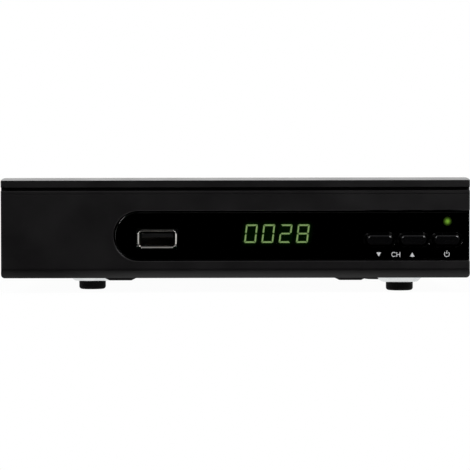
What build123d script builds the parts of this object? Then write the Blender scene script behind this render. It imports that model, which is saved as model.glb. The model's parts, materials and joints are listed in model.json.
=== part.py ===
from build123d import *
import os

os.makedirs("parts", exist_ok=True)

# Satellite TV receiver. Millimetres, +Z up, the front panel faces -Y and z = 0 is the table.

# ------------------------------------------------------------------ driving dimensions
WIDTH = 168.0  # front panel, side to side
HEIGHT = 41.0  # table to the top of the front panel
BODY_DEPTH = 110.0  # flat of the front panel to the outside of the rear wall
Y_FACE = -59.5  # flat of the front panel
Y_REAR = Y_FACE + BODY_DEPTH  # outside of the rear wall
HALF = WIDTH / 2
SHEET = 0.8  # steel sheet of the base and the cover
SEAT = 0.05  # gap left between two sheets or parts that rest on each other
FIT = 0.15  # free gap round a keycap or a loose insert
PANEL_GAP = 0.35  # gap round a socket in the rear wall
OVER = 1.0  # how far a cut runs past the face that it opens

# front panel
BEZEL_BOTTOM = 5.09
BEZEL_DEPTH = 12.0
BEZEL_BACK = Y_FACE + BEZEL_DEPTH
BEZEL_SKIN = 1.2
BEZEL_CORNER = 1.3
BEZEL_EDGE = 0.6
BOTTOM_SKIN_DEPTH = 4.5
WALL = 3.5
WALL_BACK = Y_FACE + WALL
ROOT = 0.5  # how far a post or an arm reaches into the wall that it grows from
TOP_BEVEL_DROP = 0.9
TOP_BEVEL_RUN = 5.0
FACE_TOP = HEIGHT - TOP_BEVEL_DROP  # top of the flat face, where the top bevel starts
LOW_BEVEL_RISE = 3.11
LOW_BEVEL_RUN = 1.4
LOW_BEVEL_ROUND = 2.2
FACE_FOOT = BEZEL_BOTTOM + LOW_BEVEL_RISE  # foot of the flat face, where the lower bevel starts
GROOVE_DROP = 3.35
GROOVE_W = 1.25
GROOVE_HIGH = HEIGHT - GROOVE_DROP
GROOVE_LOW = GROOVE_HIGH - GROOVE_W
GROOVE_DEPTH = 2.4
GROOVE_LIP = 0.3
HAIRLINE = 0.18
HAIRLINE_Z = GROOVE_LOW - 1.2

# window
WINDOW_INSET = 40.3  # left end of the panel to the window
WINDOW_RISE = 6.11
WINDOW_H = 18.05
WINDOW_LEFT = -HALF + WINDOW_INSET
WINDOW_LOW = BEZEL_BOTTOM + WINDOW_RISE
WINDOW_HIGH = WINDOW_LOW + WINDOW_H
WINDOW_R = WINDOW_H / 2
WINDOW_Z = WINDOW_LOW + WINDOW_R
WINDOW_CX = WINDOW_LEFT + WINDOW_R
POCKET_DEPTH = 2.0
POCKET_CHAMFER = 0.2
LENS_GAP = 0.08
LENS_SETBACK = 0.45
LENS_END_GAP = 0.45
LENS_T = POCKET_DEPTH - LENS_SETBACK - SEAT
LENS_FRONT = Y_FACE + LENS_SETBACK
LENS_BACK = LENS_FRONT + LENS_T
LENS_RIGHT = HALF - LENS_END_GAP
LENS_ROUND = 1.1

# push buttons, with the flange that keeps each one behind the wall
BUTTON_INSETS = (32.3, 20.2, 8.3)  # from the right end of the panel
BUTTON_X = [HALF - inset for inset in BUTTON_INSETS]
BUTTON_Z = WINDOW_LOW + 7.55
CAP_W = 8.7
CAP_H = 3.3
CAP_R = 1.3
CAP_PROUD = 1.2  # stands this far in front of the panel's flat
CAP_FRONT = Y_FACE - CAP_PROUD
CAP_EDGE = 0.6
CAP_SLOPE = 1.0  # how far the foot of the cap's face lies behind its top
TRAVEL = 0.4
SCOOP_SLOPE = 0.5  # width of the sloping rim of a scoop
SCOOP_SLOPE_DROP = 0.28
SCOOP_LAND = 0.1  # flat strip left between two scoops
SCOOP_A = (BUTTON_X[2] - BUTTON_X[1] - SCOOP_LAND) / 2 - SCOOP_SLOPE
SCOOP_B = CAP_H / 2 + 0.55
SCOOP_DEPTH = 0.6
HOLE_SLOPE = 0.2  # width of the sloping rim of a key's opening
HOLE_SLOPE_DROP = 0.12
FLANGE_W = CAP_W + 1.7
FLANGE_H = CAP_H + 1.7
FLANGE_R = 0.6
FLANGE_T = 0.9
FLANGE_FRONT = WALL_BACK + 0.1
FLANGE_BACK = FLANGE_FRONT + FLANGE_T
PRESS_GAP = 0.5  # pressed flange to the switch body

# function marks under the buttons
MARK_Z = WINDOW_LOW + 2.35
MARK_T = 0.06
STROKE = 0.34
ARROW_HALF = 0.86
ARROW_UP = 0.78
ARROW_DOWN = 0.82
LETTER_R = 0.85
LETTER_DROP = 0.1
POWER_R = 1.06
POWER_GAP = 1.0

# front board and what it carries
BOARD_T = 1.6
SWITCH_SIZE = 6.0
SWITCH_T = 3.6
SWITCH_CORNER = 0.5
FRONT_BOARD_Y = FLANGE_BACK + TRAVEL + PRESS_GAP + SWITCH_T  # component side
FRONT_BOARD_BACK = FRONT_BOARD_Y + BOARD_T
PLUNGER_R = 1.7
PLUNGER_FIT = 0.08
PLUNGER_LENGTH = 2.4
PLUNGER_END_GAP = 0.3
DISPLAY_X = 14.9
DISPLAY_Z = WINDOW_LOW + 9.75
DISPLAY_W = 28.0
DISPLAY_H = 10.4
DISPLAY_GAP = 0.3  # round the display in its opening
DISPLAY_FRONT = LENS_BACK + 0.45
DISPLAY_CORNER = 0.3
DIGIT_PITCH = 6.2
DIGIT_H = 6.6
DIGIT_W = 4.2
DIGIT_SLANT = 0.117  # sideways lean per unit of height
SEGMENT = 0.56
SEGMENT_GAP = 0.3
SEGMENT_T = 0.2
LED_X = BUTTON_X[2] + 0.37
LED_Z = WINDOW_LOW + 14.07
LED_R = 1.45
LED_GAP = 0.25  # lens to the tip of the LED
LED_RIM = 0.4
LED_RIM_T = 1.0
LED_STAND = 1.5
LEAD = 0.5  # square wire
LED_LEAD_PITCH = 1.5

# USB socket
USB_X = WINDOW_LEFT + 15.7
USB_Z = WINDOW_LOW + 7.95
USB_W = 13.1
USB_H = 5.7
USB_SHELL = 0.3
USB_CORNER = 0.5
USB_SLIT = 1.9
USB_LIP_W = USB_W + 1.3
USB_LIP_H = USB_H + 1.1
USB_LIP_RUN = 0.75
USB_FRONT = LENS_FRONT - 0.05
USB_LENGTH = 14.0
USB_END = USB_FRONT + USB_LENGTH
USB_HOLE_W = USB_LIP_W + 0.6
USB_HOLE_H = USB_LIP_H + 0.6
USB_HOLE_R = 0.6
TONGUE_TOP = USB_Z + 2.2
TONGUE_LOW = USB_Z + 0.45
TONGUE_HALF = USB_W / 2 - 0.95
TONGUE_SETBACK = 1.4
TONGUE_ROOT = 2.5
USB_CONTACT_X = (-3.5, -1.0, 1.0, 3.5)
USB_CONTACT_W = 1.1
USB_CONTACT_T = 0.18

# USB board, on two rails behind the wall
USB_BOARD_TOP = USB_Z - USB_H / 2
USB_BOARD_LOW = USB_BOARD_TOP - BOARD_T
USB_BOARD_X0 = USB_X - 15.6
USB_BOARD_X1 = USB_X + USB_W / 2 + 0.35
USB_BOARD_Y0 = WALL_BACK + 0.2
USB_BOARD_Y1 = USB_END + 7.1
USB_RAIL_X = (USB_X - 13.8, USB_X + 4.0)
USB_RAIL_W = 3.4
USB_RAIL_H = 4.5
USB_SCREW_Y = USB_BOARD_Y1 - 3.2
USB_SCREW_R = 0.95
USB_SCREW_LENGTH = 5.4
USB_SCREW_HEAD_R = 2.0
USB_SCREW_HEAD_H = 1.2
USB_HEADER_X = USB_X - 11.2
USB_HEADER_W = 6.4
USB_HEADER_D = 4.6
USB_HEADER_H = 4.4
USB_CABLE_R = 1.1
USB_CABLE_BEND = 2.0

# front board outline, its posts and the infrared receiver
FRONT_BOARD_X0 = USB_BOARD_X1 + 0.3
FRONT_BOARD_X1 = HALF - 5.0
FRONT_BOARD_Z0 = WINDOW_LOW - 0.8
FRONT_BOARD_Z1 = FRONT_BOARD_Z0 + 23.2
FRONT_BOARD_CORNER = 1.0
IR_X = FRONT_BOARD_X0 + 3.3
IR_Z = WINDOW_LOW + 12.5
IR_HOLE_R = 2.6
IR_LENS_R = 1.8
IR_W = 5.0
IR_T = 2.8
IR_UP = 3.0
IR_DOWN = 3.2
IR_STAND = 1.4
POSTS = [(x, z) for x in (IR_X + 5.5, DISPLAY_X + 21.1, FRONT_BOARD_X1 - 5.0)
         for z in (FRONT_BOARD_Z0 + 2.8, FRONT_BOARD_Z1 - 3.0)]
POST_R = 2.4

# small self-tapping screws of the boards
TAP_R = 1.15
TAP_LENGTH = 4.6
TAP_PILOT_R = 1.25
TAP_HOLE_R = 1.35
TAP_HEAD_R = 2.1
TAP_HEAD_H = 1.3
CROSS = 0.45

# steel base and top cover, which slide behind the edges of the front panel
COVER_SIDE_GAP = 0.45
COVER_TOP_GAP = 0.2
COVER_HALF = HALF - BEZEL_SKIN - COVER_SIDE_GAP
COVER_TOP = HEIGHT - BEZEL_SKIN - COVER_TOP_GAP
COVER_FRONT = WALL_BACK + 3.5
COVER_BACK = Y_REAR + SEAT + SHEET
COVER_BEND = 1.4
REAR_LIP = 6.0  # height of the cover's lip over the rear wall
REAR_LIP_IN = 2.5
TRAY_HALF = COVER_HALF - SHEET - SEAT
TRAY_IN = TRAY_HALF - SHEET
REAR_TOP = COVER_TOP - SHEET - SEAT
REAR_IN = Y_REAR - SHEET
FLOOR_Z = BEZEL_BOTTOM + 0.51
FLOOR_TOP = FLOOR_Z + SHEET
TRAY_FRONT = Y_FACE + BOTTOM_SKIN_DEPTH + 0.2
SIDE_FRONT = FLANGE_BACK + TRAVEL + 1.0  # the side walls stay clear of a pressed button
FLANGE_TOP = FLOOR_TOP + 10.6
FRONT_FLANGE_TOP = FLOOR_TOP + 2.6
REAR_FLANGE = 10.0
REAR_FLANGE_IN = 1.2

# feet, in formed dishes
LEFT_FOOT_INSET = 28.7
LEFT_FOOT_SETBACK = 26.0
RIGHT_FOOT_INSET = 21.8
RIGHT_FOOT_SETBACK = 14.2
REAR_FOOT_INSET = 25.5
REAR_FOOT_SETBACK = 14.5
FEET = (
    ("foot_front_left", -TRAY_HALF + LEFT_FOOT_INSET, Y_FACE + LEFT_FOOT_SETBACK),
    ("foot_front_right", TRAY_HALF - RIGHT_FOOT_INSET, Y_FACE + RIGHT_FOOT_SETBACK),
    ("foot_rear_left", -TRAY_HALF + REAR_FOOT_INSET, Y_REAR - REAR_FOOT_SETBACK),
    ("foot_rear_right", TRAY_HALF - REAR_FOOT_INSET, Y_REAR - REAR_FOOT_SETBACK),
)
FOOT_R = 4.9
FOOT_H = 3.1
FOOT_EDGE = 1.0
FOOT_PIT_R = 1.7
FOOT_PIT = 0.7
STEM_R = 1.9
STEM_HOLE_R = STEM_R + 0.1
BARB_R = 2.5
BARB_T = 1.25
BARB_EDGE = 0.6
BOSS_TOP_R = 9.2
BOSS_BOTTOM_R = 6.6
BOSS_ROUND = 1.2
BOSS_IN_TOP = 0.4
BOSS_IN_BOTTOM = 0.7

# snap clips of the front panel, and its side arms
CLIP_INSET = 40.3
CLIP_X = TRAY_HALF - CLIP_INSET
CLIP_TOP_W = 11.6
CLIP_LOW_W = 7.8
CLIP_Z = BEZEL_BOTTOM - 0.82
CLIP_FRONT = Y_FACE + LOW_BEVEL_RUN + 0.3
CLIP_REACH = 9.5
CLIP_LAP = 0.1  # into the panel above it
CLIP_BACK = CLIP_FRONT + CLIP_REACH
NIB_W = 6.0
NIB_T = 1.2
NIB_RISE = 0.5
NIB_GAP = 0.3
ARM_OUT = TRAY_IN - 0.2
ARM_T = 1.1
ARM_LOW = FLOOR_TOP + 3.4
ARM_H = 5.4
ARM_END = WALL_BACK + 11.0
ARM_NIB_OUT = TRAY_HALF - 0.3
ARM_NIB_Y0 = ARM_END - 2.0
ARM_NIB_Y1 = ARM_END - 0.5
ARM_NIB_IN = 0.4

# cooling slots
VENT_W = 2.2
VENT_START = 34.5  # cover's front edge to the first slots
FLOOR_VENT = (16.0, 5.0, 8)  # length, pitch, number
TOP_VENT = (20.0, 6.0, 20)
SIDE_VENT = (12.0, 5.0, 9)
TOP_VENT_GAP = 8.0  # between the two rows
SIDE_VENT_Z = FLOOR_TOP + 18.6

# main board
MAIN_Z = FLOOR_TOP + 4.0
MAIN_TOP = MAIN_Z + BOARD_T
MAIN_CORNER = 1.5

# row of sockets along the rear wall: widths from left to right as seen from the front
DC_W = 9.0
RCA_W = 11.0
SCART_W = 47.0
HDMI_W = 15.0
LAN_W = 16.0
TUNER_W = 28.0
ROW = (DC_W, RCA_W, SCART_W, HDMI_W, LAN_W, TUNER_W)
ROW_START = 5.7  # side wall to the first socket
ROW_SHARES = (6, 9, 8, 9, 2, 25.4)  # how the free length is shared out after each socket
ROW_FREE = 2 * TRAY_IN - ROW_START - sum(ROW)
SOCKET_X = []
row_end = -TRAY_IN + ROW_START
for socket_width, share in zip(ROW, ROW_SHARES):
    SOCKET_X.append(row_end + socket_width / 2)
    row_end += socket_width + ROW_FREE * share / sum(ROW_SHARES)
DC_X, RCA_X, SCART_X, HDMI_X, LAN_X, F_X = SOCKET_X
MAIN_X0 = DC_X - DC_W / 2 - 1.0
MAIN_X1 = F_X + TUNER_W / 2 + 2.0
MAIN_Y0 = USB_BOARD_Y1 + 2.0
MAIN_Y1 = REAR_IN - 0.8

# tuner can and F socket
TUNER_BACK = REAR_IN - 0.5
TUNER_DEPTH = 35.2
TUNER_FRONT = TUNER_BACK - TUNER_DEPTH
TUNER_H = 18.0
TUNER_CORNER = 0.6
TUNER_LID_IN = 2.0
TUNER_LID_DEPTH = 0.3
STANDOFFS = (
    (MAIN_X0 + 4.0, MAIN_Y0 + 5.0),
    (-4.0, MAIN_Y0 + 5.0),
    (MAIN_X1 - 4.0, MAIN_Y0 + 5.0),
    (MAIN_X0 + 4.0, REAR_IN - 25.7),
    (SCART_X - 20.0, TUNER_FRONT - 2.0),
    (F_X - TUNER_W / 2 - 6.5, TUNER_FRONT - 2.0),
)
SEAT_TOP_R = 3.4
SEAT_FOOT_R = 5.2
SEAT_WALL = 0.9
F_Z = MAIN_TOP + 9.5
F_R = 4.75
F_COLLAR_R = F_R + 0.2
F_BORE_R = 3.9
F_REACH = 10.2
F_TIP = Y_REAR + F_REACH
F_PIN_R = 0.9
F_PIN_DEPTH = 7.0
F_EDGE = 0.4
F_NUT_AF = 11.0
F_NUT_T = 2.2

# network socket
LAN_H = 13.5
LAN_DEPTH = 21.0
LAN_TIP = Y_REAR + 0.9
LAN_IN = LAN_TIP - LAN_DEPTH
LAN_MID = MAIN_TOP + LAN_H / 2
LAN_SHEET = 0.4
LAN_SETBACK = 0.4
PLUG_W = 11.8
PLUG_H = 7.2
PLUG_LOW = LAN_MID - 2.6
PLUG_DEPTH = 13.0
LATCH_W = 6.2
LATCH_H = 1.4
LATCH_TIP_W = 4.2
LATCH_TIP_H = 1.2
LAN_PITCH = 1.02
LAN_WIRE = 0.4

# video socket
HDMI_H = 5.6
HDMI_DEPTH = 11.0
HDMI_TIP = Y_REAR + 0.5
HDMI_SHELL = 0.4
HDMI_SLOPE_W = 1.6
HDMI_SLOPE_H = 1.9
HDMI_Z = MAIN_TOP + HDMI_H / 2
HDMI_BACK = HDMI_TIP - HDMI_DEPTH + HDMI_SHELL
HDMI_FIT = 0.2
BLADE_HALF = HDMI_W / 2 - 1.9
BLADE_UP = 1.3
BLADE_DOWN = 0.2
BLADE_ROOT = 1.6
HDMI_PITCH = 1.0
HDMI_WIRE = 0.45
HDMI_WIRE_T = 0.12
HDMI_WIRE_LENGTH = 6.0

# SCART socket
SCART_H = 21.0
SCART_DEPTH = 19.0
SCART_TIP = Y_REAR + 1.5
SCART_MID = MAIN_TOP + SCART_H / 2
SCART_EDGE = 0.5
MOAT_HALF_W = SCART_W / 2 - 1.7
MOAT_HALF_H = SCART_H / 2 - 3.1
MOAT_CUT_W = 4.8
MOAT_CUT_H = 4.4
MOAT_W = 1.6
MOAT_DEPTH = 9.0
SCART_PITCH = 3.81
SCART_ROW_Z = 2.8
SCART_SHIFT = 1.9
SLOT_W = 1.2
SLOT_H = 3.6
SLOT_DEPTH = 11.0
SCART_WIRE = 0.6
SCART_WIRE_H = 3.0
SCART_WIRE_LENGTH = 8.0

# coaxial audio jack
RCA_H = 13.0
RCA_Z = MAIN_TOP + 7.5
RCA_R = 4.15
RCA_ROOT_R = RCA_R - 0.2
RCA_COLLAR = 0.6
RCA_COLLAR_R = RCA_R + 0.7
RCA_BORE_R = 3.55
RCA_PIN_R = 1.75
RCA_EDGE = 0.25
RCA_TIP = Y_REAR + 9.0
RCA_ROOT_Y = REAR_IN - 9.0
RCA_BLOCK_Y = REAR_IN - 12.0
BLOCK_GAP = 0.3  # plastic socket bodies to the rear wall

# power inlet
DC_H = 11.0
DC_Z = MAIN_TOP + 6.5
DC_BORE_R = 3.1
DC_RIM_R = DC_BORE_R + 1.0
DC_PIN_R = 1.0
DC_PIN_ROUND = 0.4
DC_TIP = Y_REAR + 0.4
DC_BLOCK_Y = REAR_IN - 13.0
DC_BORE_END = REAR_IN - 9.5

# screws of the cover
SCREW_R = 1.45
SCREW_HEAD_R = 2.5
SCREW_HEAD_H = 1.4
SCREW_HEAD_ROUND = 0.7
SCREW_TIP = 0.5
SCREW_LENGTH = 6.0
SCREW_FREE = 0.1
SCREW_CROSS_L = 2.8
SCREW_CROSS_W = 0.55
SCREW_CROSS_DEPTH = 0.8
REAR_SCREW_INSET = 9.5
REAR_SCREW_Z = REAR_TOP - 2.55
MIDDLE_SCREW_X = SCART_X + SCART_W / 2 + 2.5
REAR_SCREW_X = (-TRAY_HALF + REAR_SCREW_INSET, MIDDLE_SCREW_X, TRAY_HALF - REAR_SCREW_INSET)
REAR_SCREWS = [(x, REAR_SCREW_Z) for x in REAR_SCREW_X]
SIDE_SCREW_SETBACK = 29.5
SIDE_SCREW_INSET = 20.5
SIDE_SCREW_Y = (Y_FACE + SIDE_SCREW_SETBACK, Y_REAR - SIDE_SCREW_INSET)
SIDE_SCREW_Z = MAIN_TOP + 2.5

# parts of the main board
CHIP_SETBACK = 34.0  # front edge of the board to the middle of the chip
CHIP_Y = MAIN_Y0 + CHIP_SETBACK
CHIP_SIZE = 20.0
CHIP_T = 1.6
CHIP_CORNER = 0.6
SINK_SIZE = 24.0
SINK_BASE = 1.8
FIN_T = 1.2
FIN_H = 7.0
FIN_PITCH = 3.6
MEMORY_X = (-22.0, 20.5)
MEMORY_Y = CHIP_Y - 0.5
MEMORY = (8.4, 13.0, 1.1)  # width, depth, height
CAN_X = MAIN_X0 + 13.0
CAN_Y = (CHIP_Y + 12.0, CHIP_Y - 1.0)
CAN_R = 4.0
CAN_H = 12.5
CAN_EDGE = 0.5
CAN_BEAD_Z = 2.0
CAN_SCORE = (6.0, 0.3, 0.25)  # length, width, depth
COIL_X = MAIN_X0 + 24.0
COIL_Y = CHIP_Y - 15.0
COIL_SIZE = 10.0
COIL_H = 5.0
COIL_CORNER = 2.0
COIL_WELL_R = 3.6
COIL_CORE_R = 2.8
COIL_WELL = 0.8

# ribbon between the boards
RIBBON_X = DISPLAY_X + 11.1
RIBBON_W = 10.0
RIBBON_T = 0.7
RIBBON_BEND = 2.4
RIBBON_Z = FRONT_BOARD_Z0 + 9.6
RIBBON_TURN_Y = MAIN_Y0 - 1.0
RIBBON_RISE = 7.0
RIBBON_DOWN_Y = MAIN_Y0 + 5.0
PLUG_HEADER_W = 12.0
PLUG_HEADER_D = 4.0
PLUG_HEADER_H = 5.5


def front(y):
    """The plane facing -Y at this depth, with +X to the right and +Z up."""
    return Plane(origin=(0, y, 0), x_dir=(1, 0, 0), z_dir=(0, -1, 0))


def block(x0, x1, y0, y1, z0, z1, mode=Mode.ADD):
    """A box between two corners."""
    with Locations(((x0 + x1) / 2, (y0 + y1) / 2, (z0 + z1) / 2)):
        Box(x1 - x0, y1 - y0, z1 - z0, mode=mode)


def rod(x, y0, y1, z, radius, mode=Mode.ADD):
    """A cylinder along Y."""
    with Locations(Location((x, (y0 + y1) / 2, z), (90, 0, 0))):
        Cylinder(radius, y1 - y0, mode=mode)


def post(x, y, z0, z1, radius, mode=Mode.ADD):
    """A cylinder along Z."""
    with Locations((x, y, (z0 + z1) / 2)):
        Cylinder(radius, z1 - z0, mode=mode)


def keep(builder, name):
    """Names a finished piece and writes it."""
    builder.part.label = name
    export_step(builder.part, f"parts/{name}.step")


# ------------------------------------------------------------------ front panel
with BuildPart() as front_bezel:
    with BuildSketch(front(Y_FACE)):
        with Locations((0, (BEZEL_BOTTOM + HEIGHT) / 2)):
            RectangleRounded(WIDTH, HEIGHT - BEZEL_BOTTOM, BEZEL_CORNER)
    extrude(amount=-BEZEL_DEPTH)
    fillet(front_bezel.faces().sort_by(Axis.Y)[0].edges(), BEZEL_EDGE)
    # hollow behind the wall, and a bottom skin shorter than the others
    inner = HALF - BEZEL_SKIN
    low_skin = BEZEL_BOTTOM + BEZEL_SKIN
    block(-inner, inner, WALL_BACK, BEZEL_BACK + OVER, low_skin, HEIGHT - BEZEL_SKIN, Mode.SUBTRACT)
    short = Y_FACE + BOTTOM_SKIN_DEPTH
    block(-WIDTH, WIDTH, short, BEZEL_BACK + OVER, BEZEL_BOTTOM - OVER, low_skin + OVER / 10, Mode.SUBTRACT)
    # top bevel, lower bevel, shadow groove with its lip, and the fine line under it
    ahead = Y_FACE - OVER
    # the face rounds over into the lower bevel: an arc that touches both
    low_slope = (LOW_BEVEL_RUN**2 + LOW_BEVEL_RISE**2) ** 0.5
    low_ease = LOW_BEVEL_ROUND * (low_slope - LOW_BEVEL_RISE) / LOW_BEVEL_RUN
    share = low_ease / low_slope
    bevel_start = (Y_FACE + share * LOW_BEVEL_RUN, FACE_FOOT - share * LOW_BEVEL_RISE)
    with BuildSketch(Plane.YZ):
        with BuildLine():
            Polyline(
                (ahead, FACE_TOP),
                (Y_FACE, FACE_TOP),
                (Y_FACE + TOP_BEVEL_RUN, HEIGHT),
                (Y_FACE + TOP_BEVEL_RUN, HEIGHT + OVER),
                (ahead, HEIGHT + OVER),
                close=True,
            )
        make_face()
        with BuildLine():
            TangentArc((Y_FACE, FACE_FOOT + low_ease), bevel_start, tangent=(0, -1))
            Polyline(
                bevel_start,
                (Y_FACE + LOW_BEVEL_RUN, BEZEL_BOTTOM),
                (Y_FACE + LOW_BEVEL_RUN, BEZEL_BOTTOM - OVER),
                (ahead, BEZEL_BOTTOM - OVER),
                (ahead, FACE_FOOT + low_ease),
                (Y_FACE, FACE_FOOT + low_ease),
            )
        make_face()
        with BuildLine():
            Polyline(
                (ahead, GROOVE_LOW - GROOVE_LIP),
                (Y_FACE, GROOVE_LOW - GROOVE_LIP),
                (Y_FACE + GROOVE_LIP, GROOVE_LOW),
                (Y_FACE + GROOVE_DEPTH, GROOVE_LOW),
                (Y_FACE + GROOVE_DEPTH, GROOVE_HIGH),
                (ahead, GROOVE_HIGH),
                close=True,
            )
        make_face()
        with BuildLine():
            Polyline(
                (ahead, HAIRLINE_Z - HAIRLINE),
                (Y_FACE, HAIRLINE_Z - HAIRLINE),
                (Y_FACE + HAIRLINE, HAIRLINE_Z),
                (Y_FACE, HAIRLINE_Z + HAIRLINE),
                (ahead, HAIRLINE_Z + HAIRLINE),
                close=True,
            )
        make_face()
    extrude(amount=WIDTH, both=True, mode=Mode.SUBTRACT)
    # pocket for the window: round at the left, running out of the right end
    with BuildSketch(front(Y_FACE)):
        with Locations((WINDOW_CX, WINDOW_Z)):
            Circle(WINDOW_R)
            Rectangle(WIDTH, 2 * WINDOW_R, align=(Align.MIN, Align.CENTER))
    extrude(amount=-POCKET_DEPTH, mode=Mode.SUBTRACT)
    rim = front_bezel.edges().filter_by(
        lambda e: abs(e.center().Y - Y_FACE) < 0.01
        and WINDOW_LOW - 0.1 < e.center().Z < WINDOW_HIGH + 0.1
        and e.center().X > WINDOW_LEFT - 0.1
        and e.length > WINDOW_R
    )
    chamfer(rim, POCKET_CHAMFER)
    # openings in the wall behind the window
    show_w = DISPLAY_W / 2 + DISPLAY_GAP
    show_h = DISPLAY_H / 2 + DISPLAY_GAP
    block(DISPLAY_X - show_w, DISPLAY_X + show_w, Y_FACE, WALL_BACK + OVER,
          DISPLAY_Z - show_h, DISPLAY_Z + show_h, Mode.SUBTRACT)
    rod(LED_X, Y_FACE, WALL_BACK + OVER, LED_Z, LED_R + FIT, Mode.SUBTRACT)
    rod(IR_X, Y_FACE, WALL_BACK + OVER, IR_Z, IR_HOLE_R, Mode.SUBTRACT)
    with BuildSketch(front(Y_FACE)):
        with Locations(*[(x, BUTTON_Z) for x in BUTTON_X]):
            RectangleRounded(CAP_W + 2 * FIT, CAP_H + 2 * FIT, CAP_R + FIT)
        with Locations((USB_X, USB_Z)):
            RectangleRounded(USB_HOLE_W, USB_HOLE_H, USB_HOLE_R)
    extrude(amount=-WALL - OVER, mode=Mode.SUBTRACT)
    # posts for the front board, with pilot holes
    for x, z in POSTS:
        rod(x, WALL_BACK - ROOT, FRONT_BOARD_Y, z, POST_R)
        rod(x, WALL_BACK + ROOT, FRONT_BOARD_Y + OVER, z, TAP_PILOT_R, Mode.SUBTRACT)
    # two rails that carry the USB board
    rail_low = USB_BOARD_LOW - USB_RAIL_H
    for x in USB_RAIL_X:
        block(x - USB_RAIL_W / 2, x + USB_RAIL_W / 2, WALL_BACK - ROOT, USB_BOARD_Y1, rail_low, USB_BOARD_LOW)
        post(x, USB_SCREW_Y, rail_low - OVER, USB_BOARD_TOP, USB_SCREW_R + SCREW_FREE, Mode.SUBTRACT)
    # snap clips under the floor, each with a nib that rises through it
    for x in (-CLIP_X, CLIP_X):
        with BuildSketch(front(CLIP_FRONT)):
            with BuildLine():
                Polyline(
                    (x - CLIP_TOP_W / 2, BEZEL_BOTTOM + CLIP_LAP),
                    (x + CLIP_TOP_W / 2, BEZEL_BOTTOM + CLIP_LAP),
                    (x + CLIP_LOW_W / 2, CLIP_Z),
                    (x - CLIP_LOW_W / 2, CLIP_Z),
                    close=True,
                )
            make_face()
        extrude(amount=-CLIP_REACH)
        block(x - NIB_W / 2, x + NIB_W / 2, CLIP_BACK - NIB_T, CLIP_BACK, CLIP_Z + ROOT, FLOOR_TOP + NIB_RISE)
    # side arms with nibs that latch in the base
    for side in (-1, 1):
        low, high = sorted((side * (ARM_OUT - ARM_T), side * ARM_OUT))
        block(low, high, WALL_BACK - ROOT, ARM_END, ARM_LOW, ARM_LOW + ARM_H)
        low, high = sorted((side * (ARM_OUT - ARM_NIB_IN), side * ARM_NIB_OUT))
        block(low, high, ARM_NIB_Y0, ARM_NIB_Y1, ARM_LOW + ARM_NIB_IN, ARM_LOW + ARM_H - ARM_NIB_IN)
keep(front_bezel, "front_bezel")

# ------------------------------------------------------------------ window
with BuildPart() as window_lens:
    with BuildSketch(front(LENS_FRONT)):
        with Locations((WINDOW_CX, WINDOW_Z)):
            Circle(WINDOW_R - LENS_GAP)
            Rectangle(LENS_RIGHT - WINDOW_CX, 2 * (WINDOW_R - LENS_GAP), align=(Align.MIN, Align.CENTER))
    extrude(amount=-LENS_T)
    rim = window_lens.faces().sort_by(Axis.Y)[0].edges().filter_by(lambda e: e.center().X < LENS_RIGHT - SEAT)
    fillet(rim, LENS_ROUND)
    with BuildSketch(front(LENS_FRONT)):
        with Locations(*[(x, BUTTON_Z) for x in BUTTON_X]):
            SlotOverall(2 * SCOOP_A, 2 * SCOOP_B)
    extrude(amount=-SCOOP_DEPTH, mode=Mode.SUBTRACT)
    scoop_rim = window_lens.edges().filter_by(
        lambda e: abs(e.center().Y - LENS_FRONT) < 0.01
        and abs(e.center().Z - BUTTON_Z) < SCOOP_B + 0.2
        and e.center().X > BUTTON_X[0] - SCOOP_A - 0.2
        and e.center().X < BUTTON_X[2] + SCOOP_A + 0.2
    )
    face = window_lens.faces().sort_by(Axis.Y)[0]
    chamfer(scoop_rim, SCOOP_SLOPE, length2=SCOOP_SLOPE_DROP, reference=face)
    with BuildSketch(front(LENS_FRONT)):
        with Locations(*[(x, BUTTON_Z) for x in BUTTON_X]):
            RectangleRounded(CAP_W + 2 * FIT, CAP_H + 2 * FIT, CAP_R + FIT)
        with Locations((USB_X, USB_Z)):
            RectangleRounded(USB_HOLE_W, USB_HOLE_H, USB_HOLE_R)
    extrude(amount=-LENS_T, mode=Mode.SUBTRACT)
    for x in BUTTON_X:
        floor = window_lens.faces().filter_by(
            lambda f: abs(f.center().Y - LENS_FRONT - SCOOP_DEPTH) < 0.01 and abs(f.center().X - x) < SCOOP_B
        )[0]
        hole_rim = floor.inner_wires()[0].edges()
        chamfer(hole_rim, HOLE_SLOPE, length2=HOLE_SLOPE_DROP, reference=floor)
keep(window_lens, "window_lens")

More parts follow.
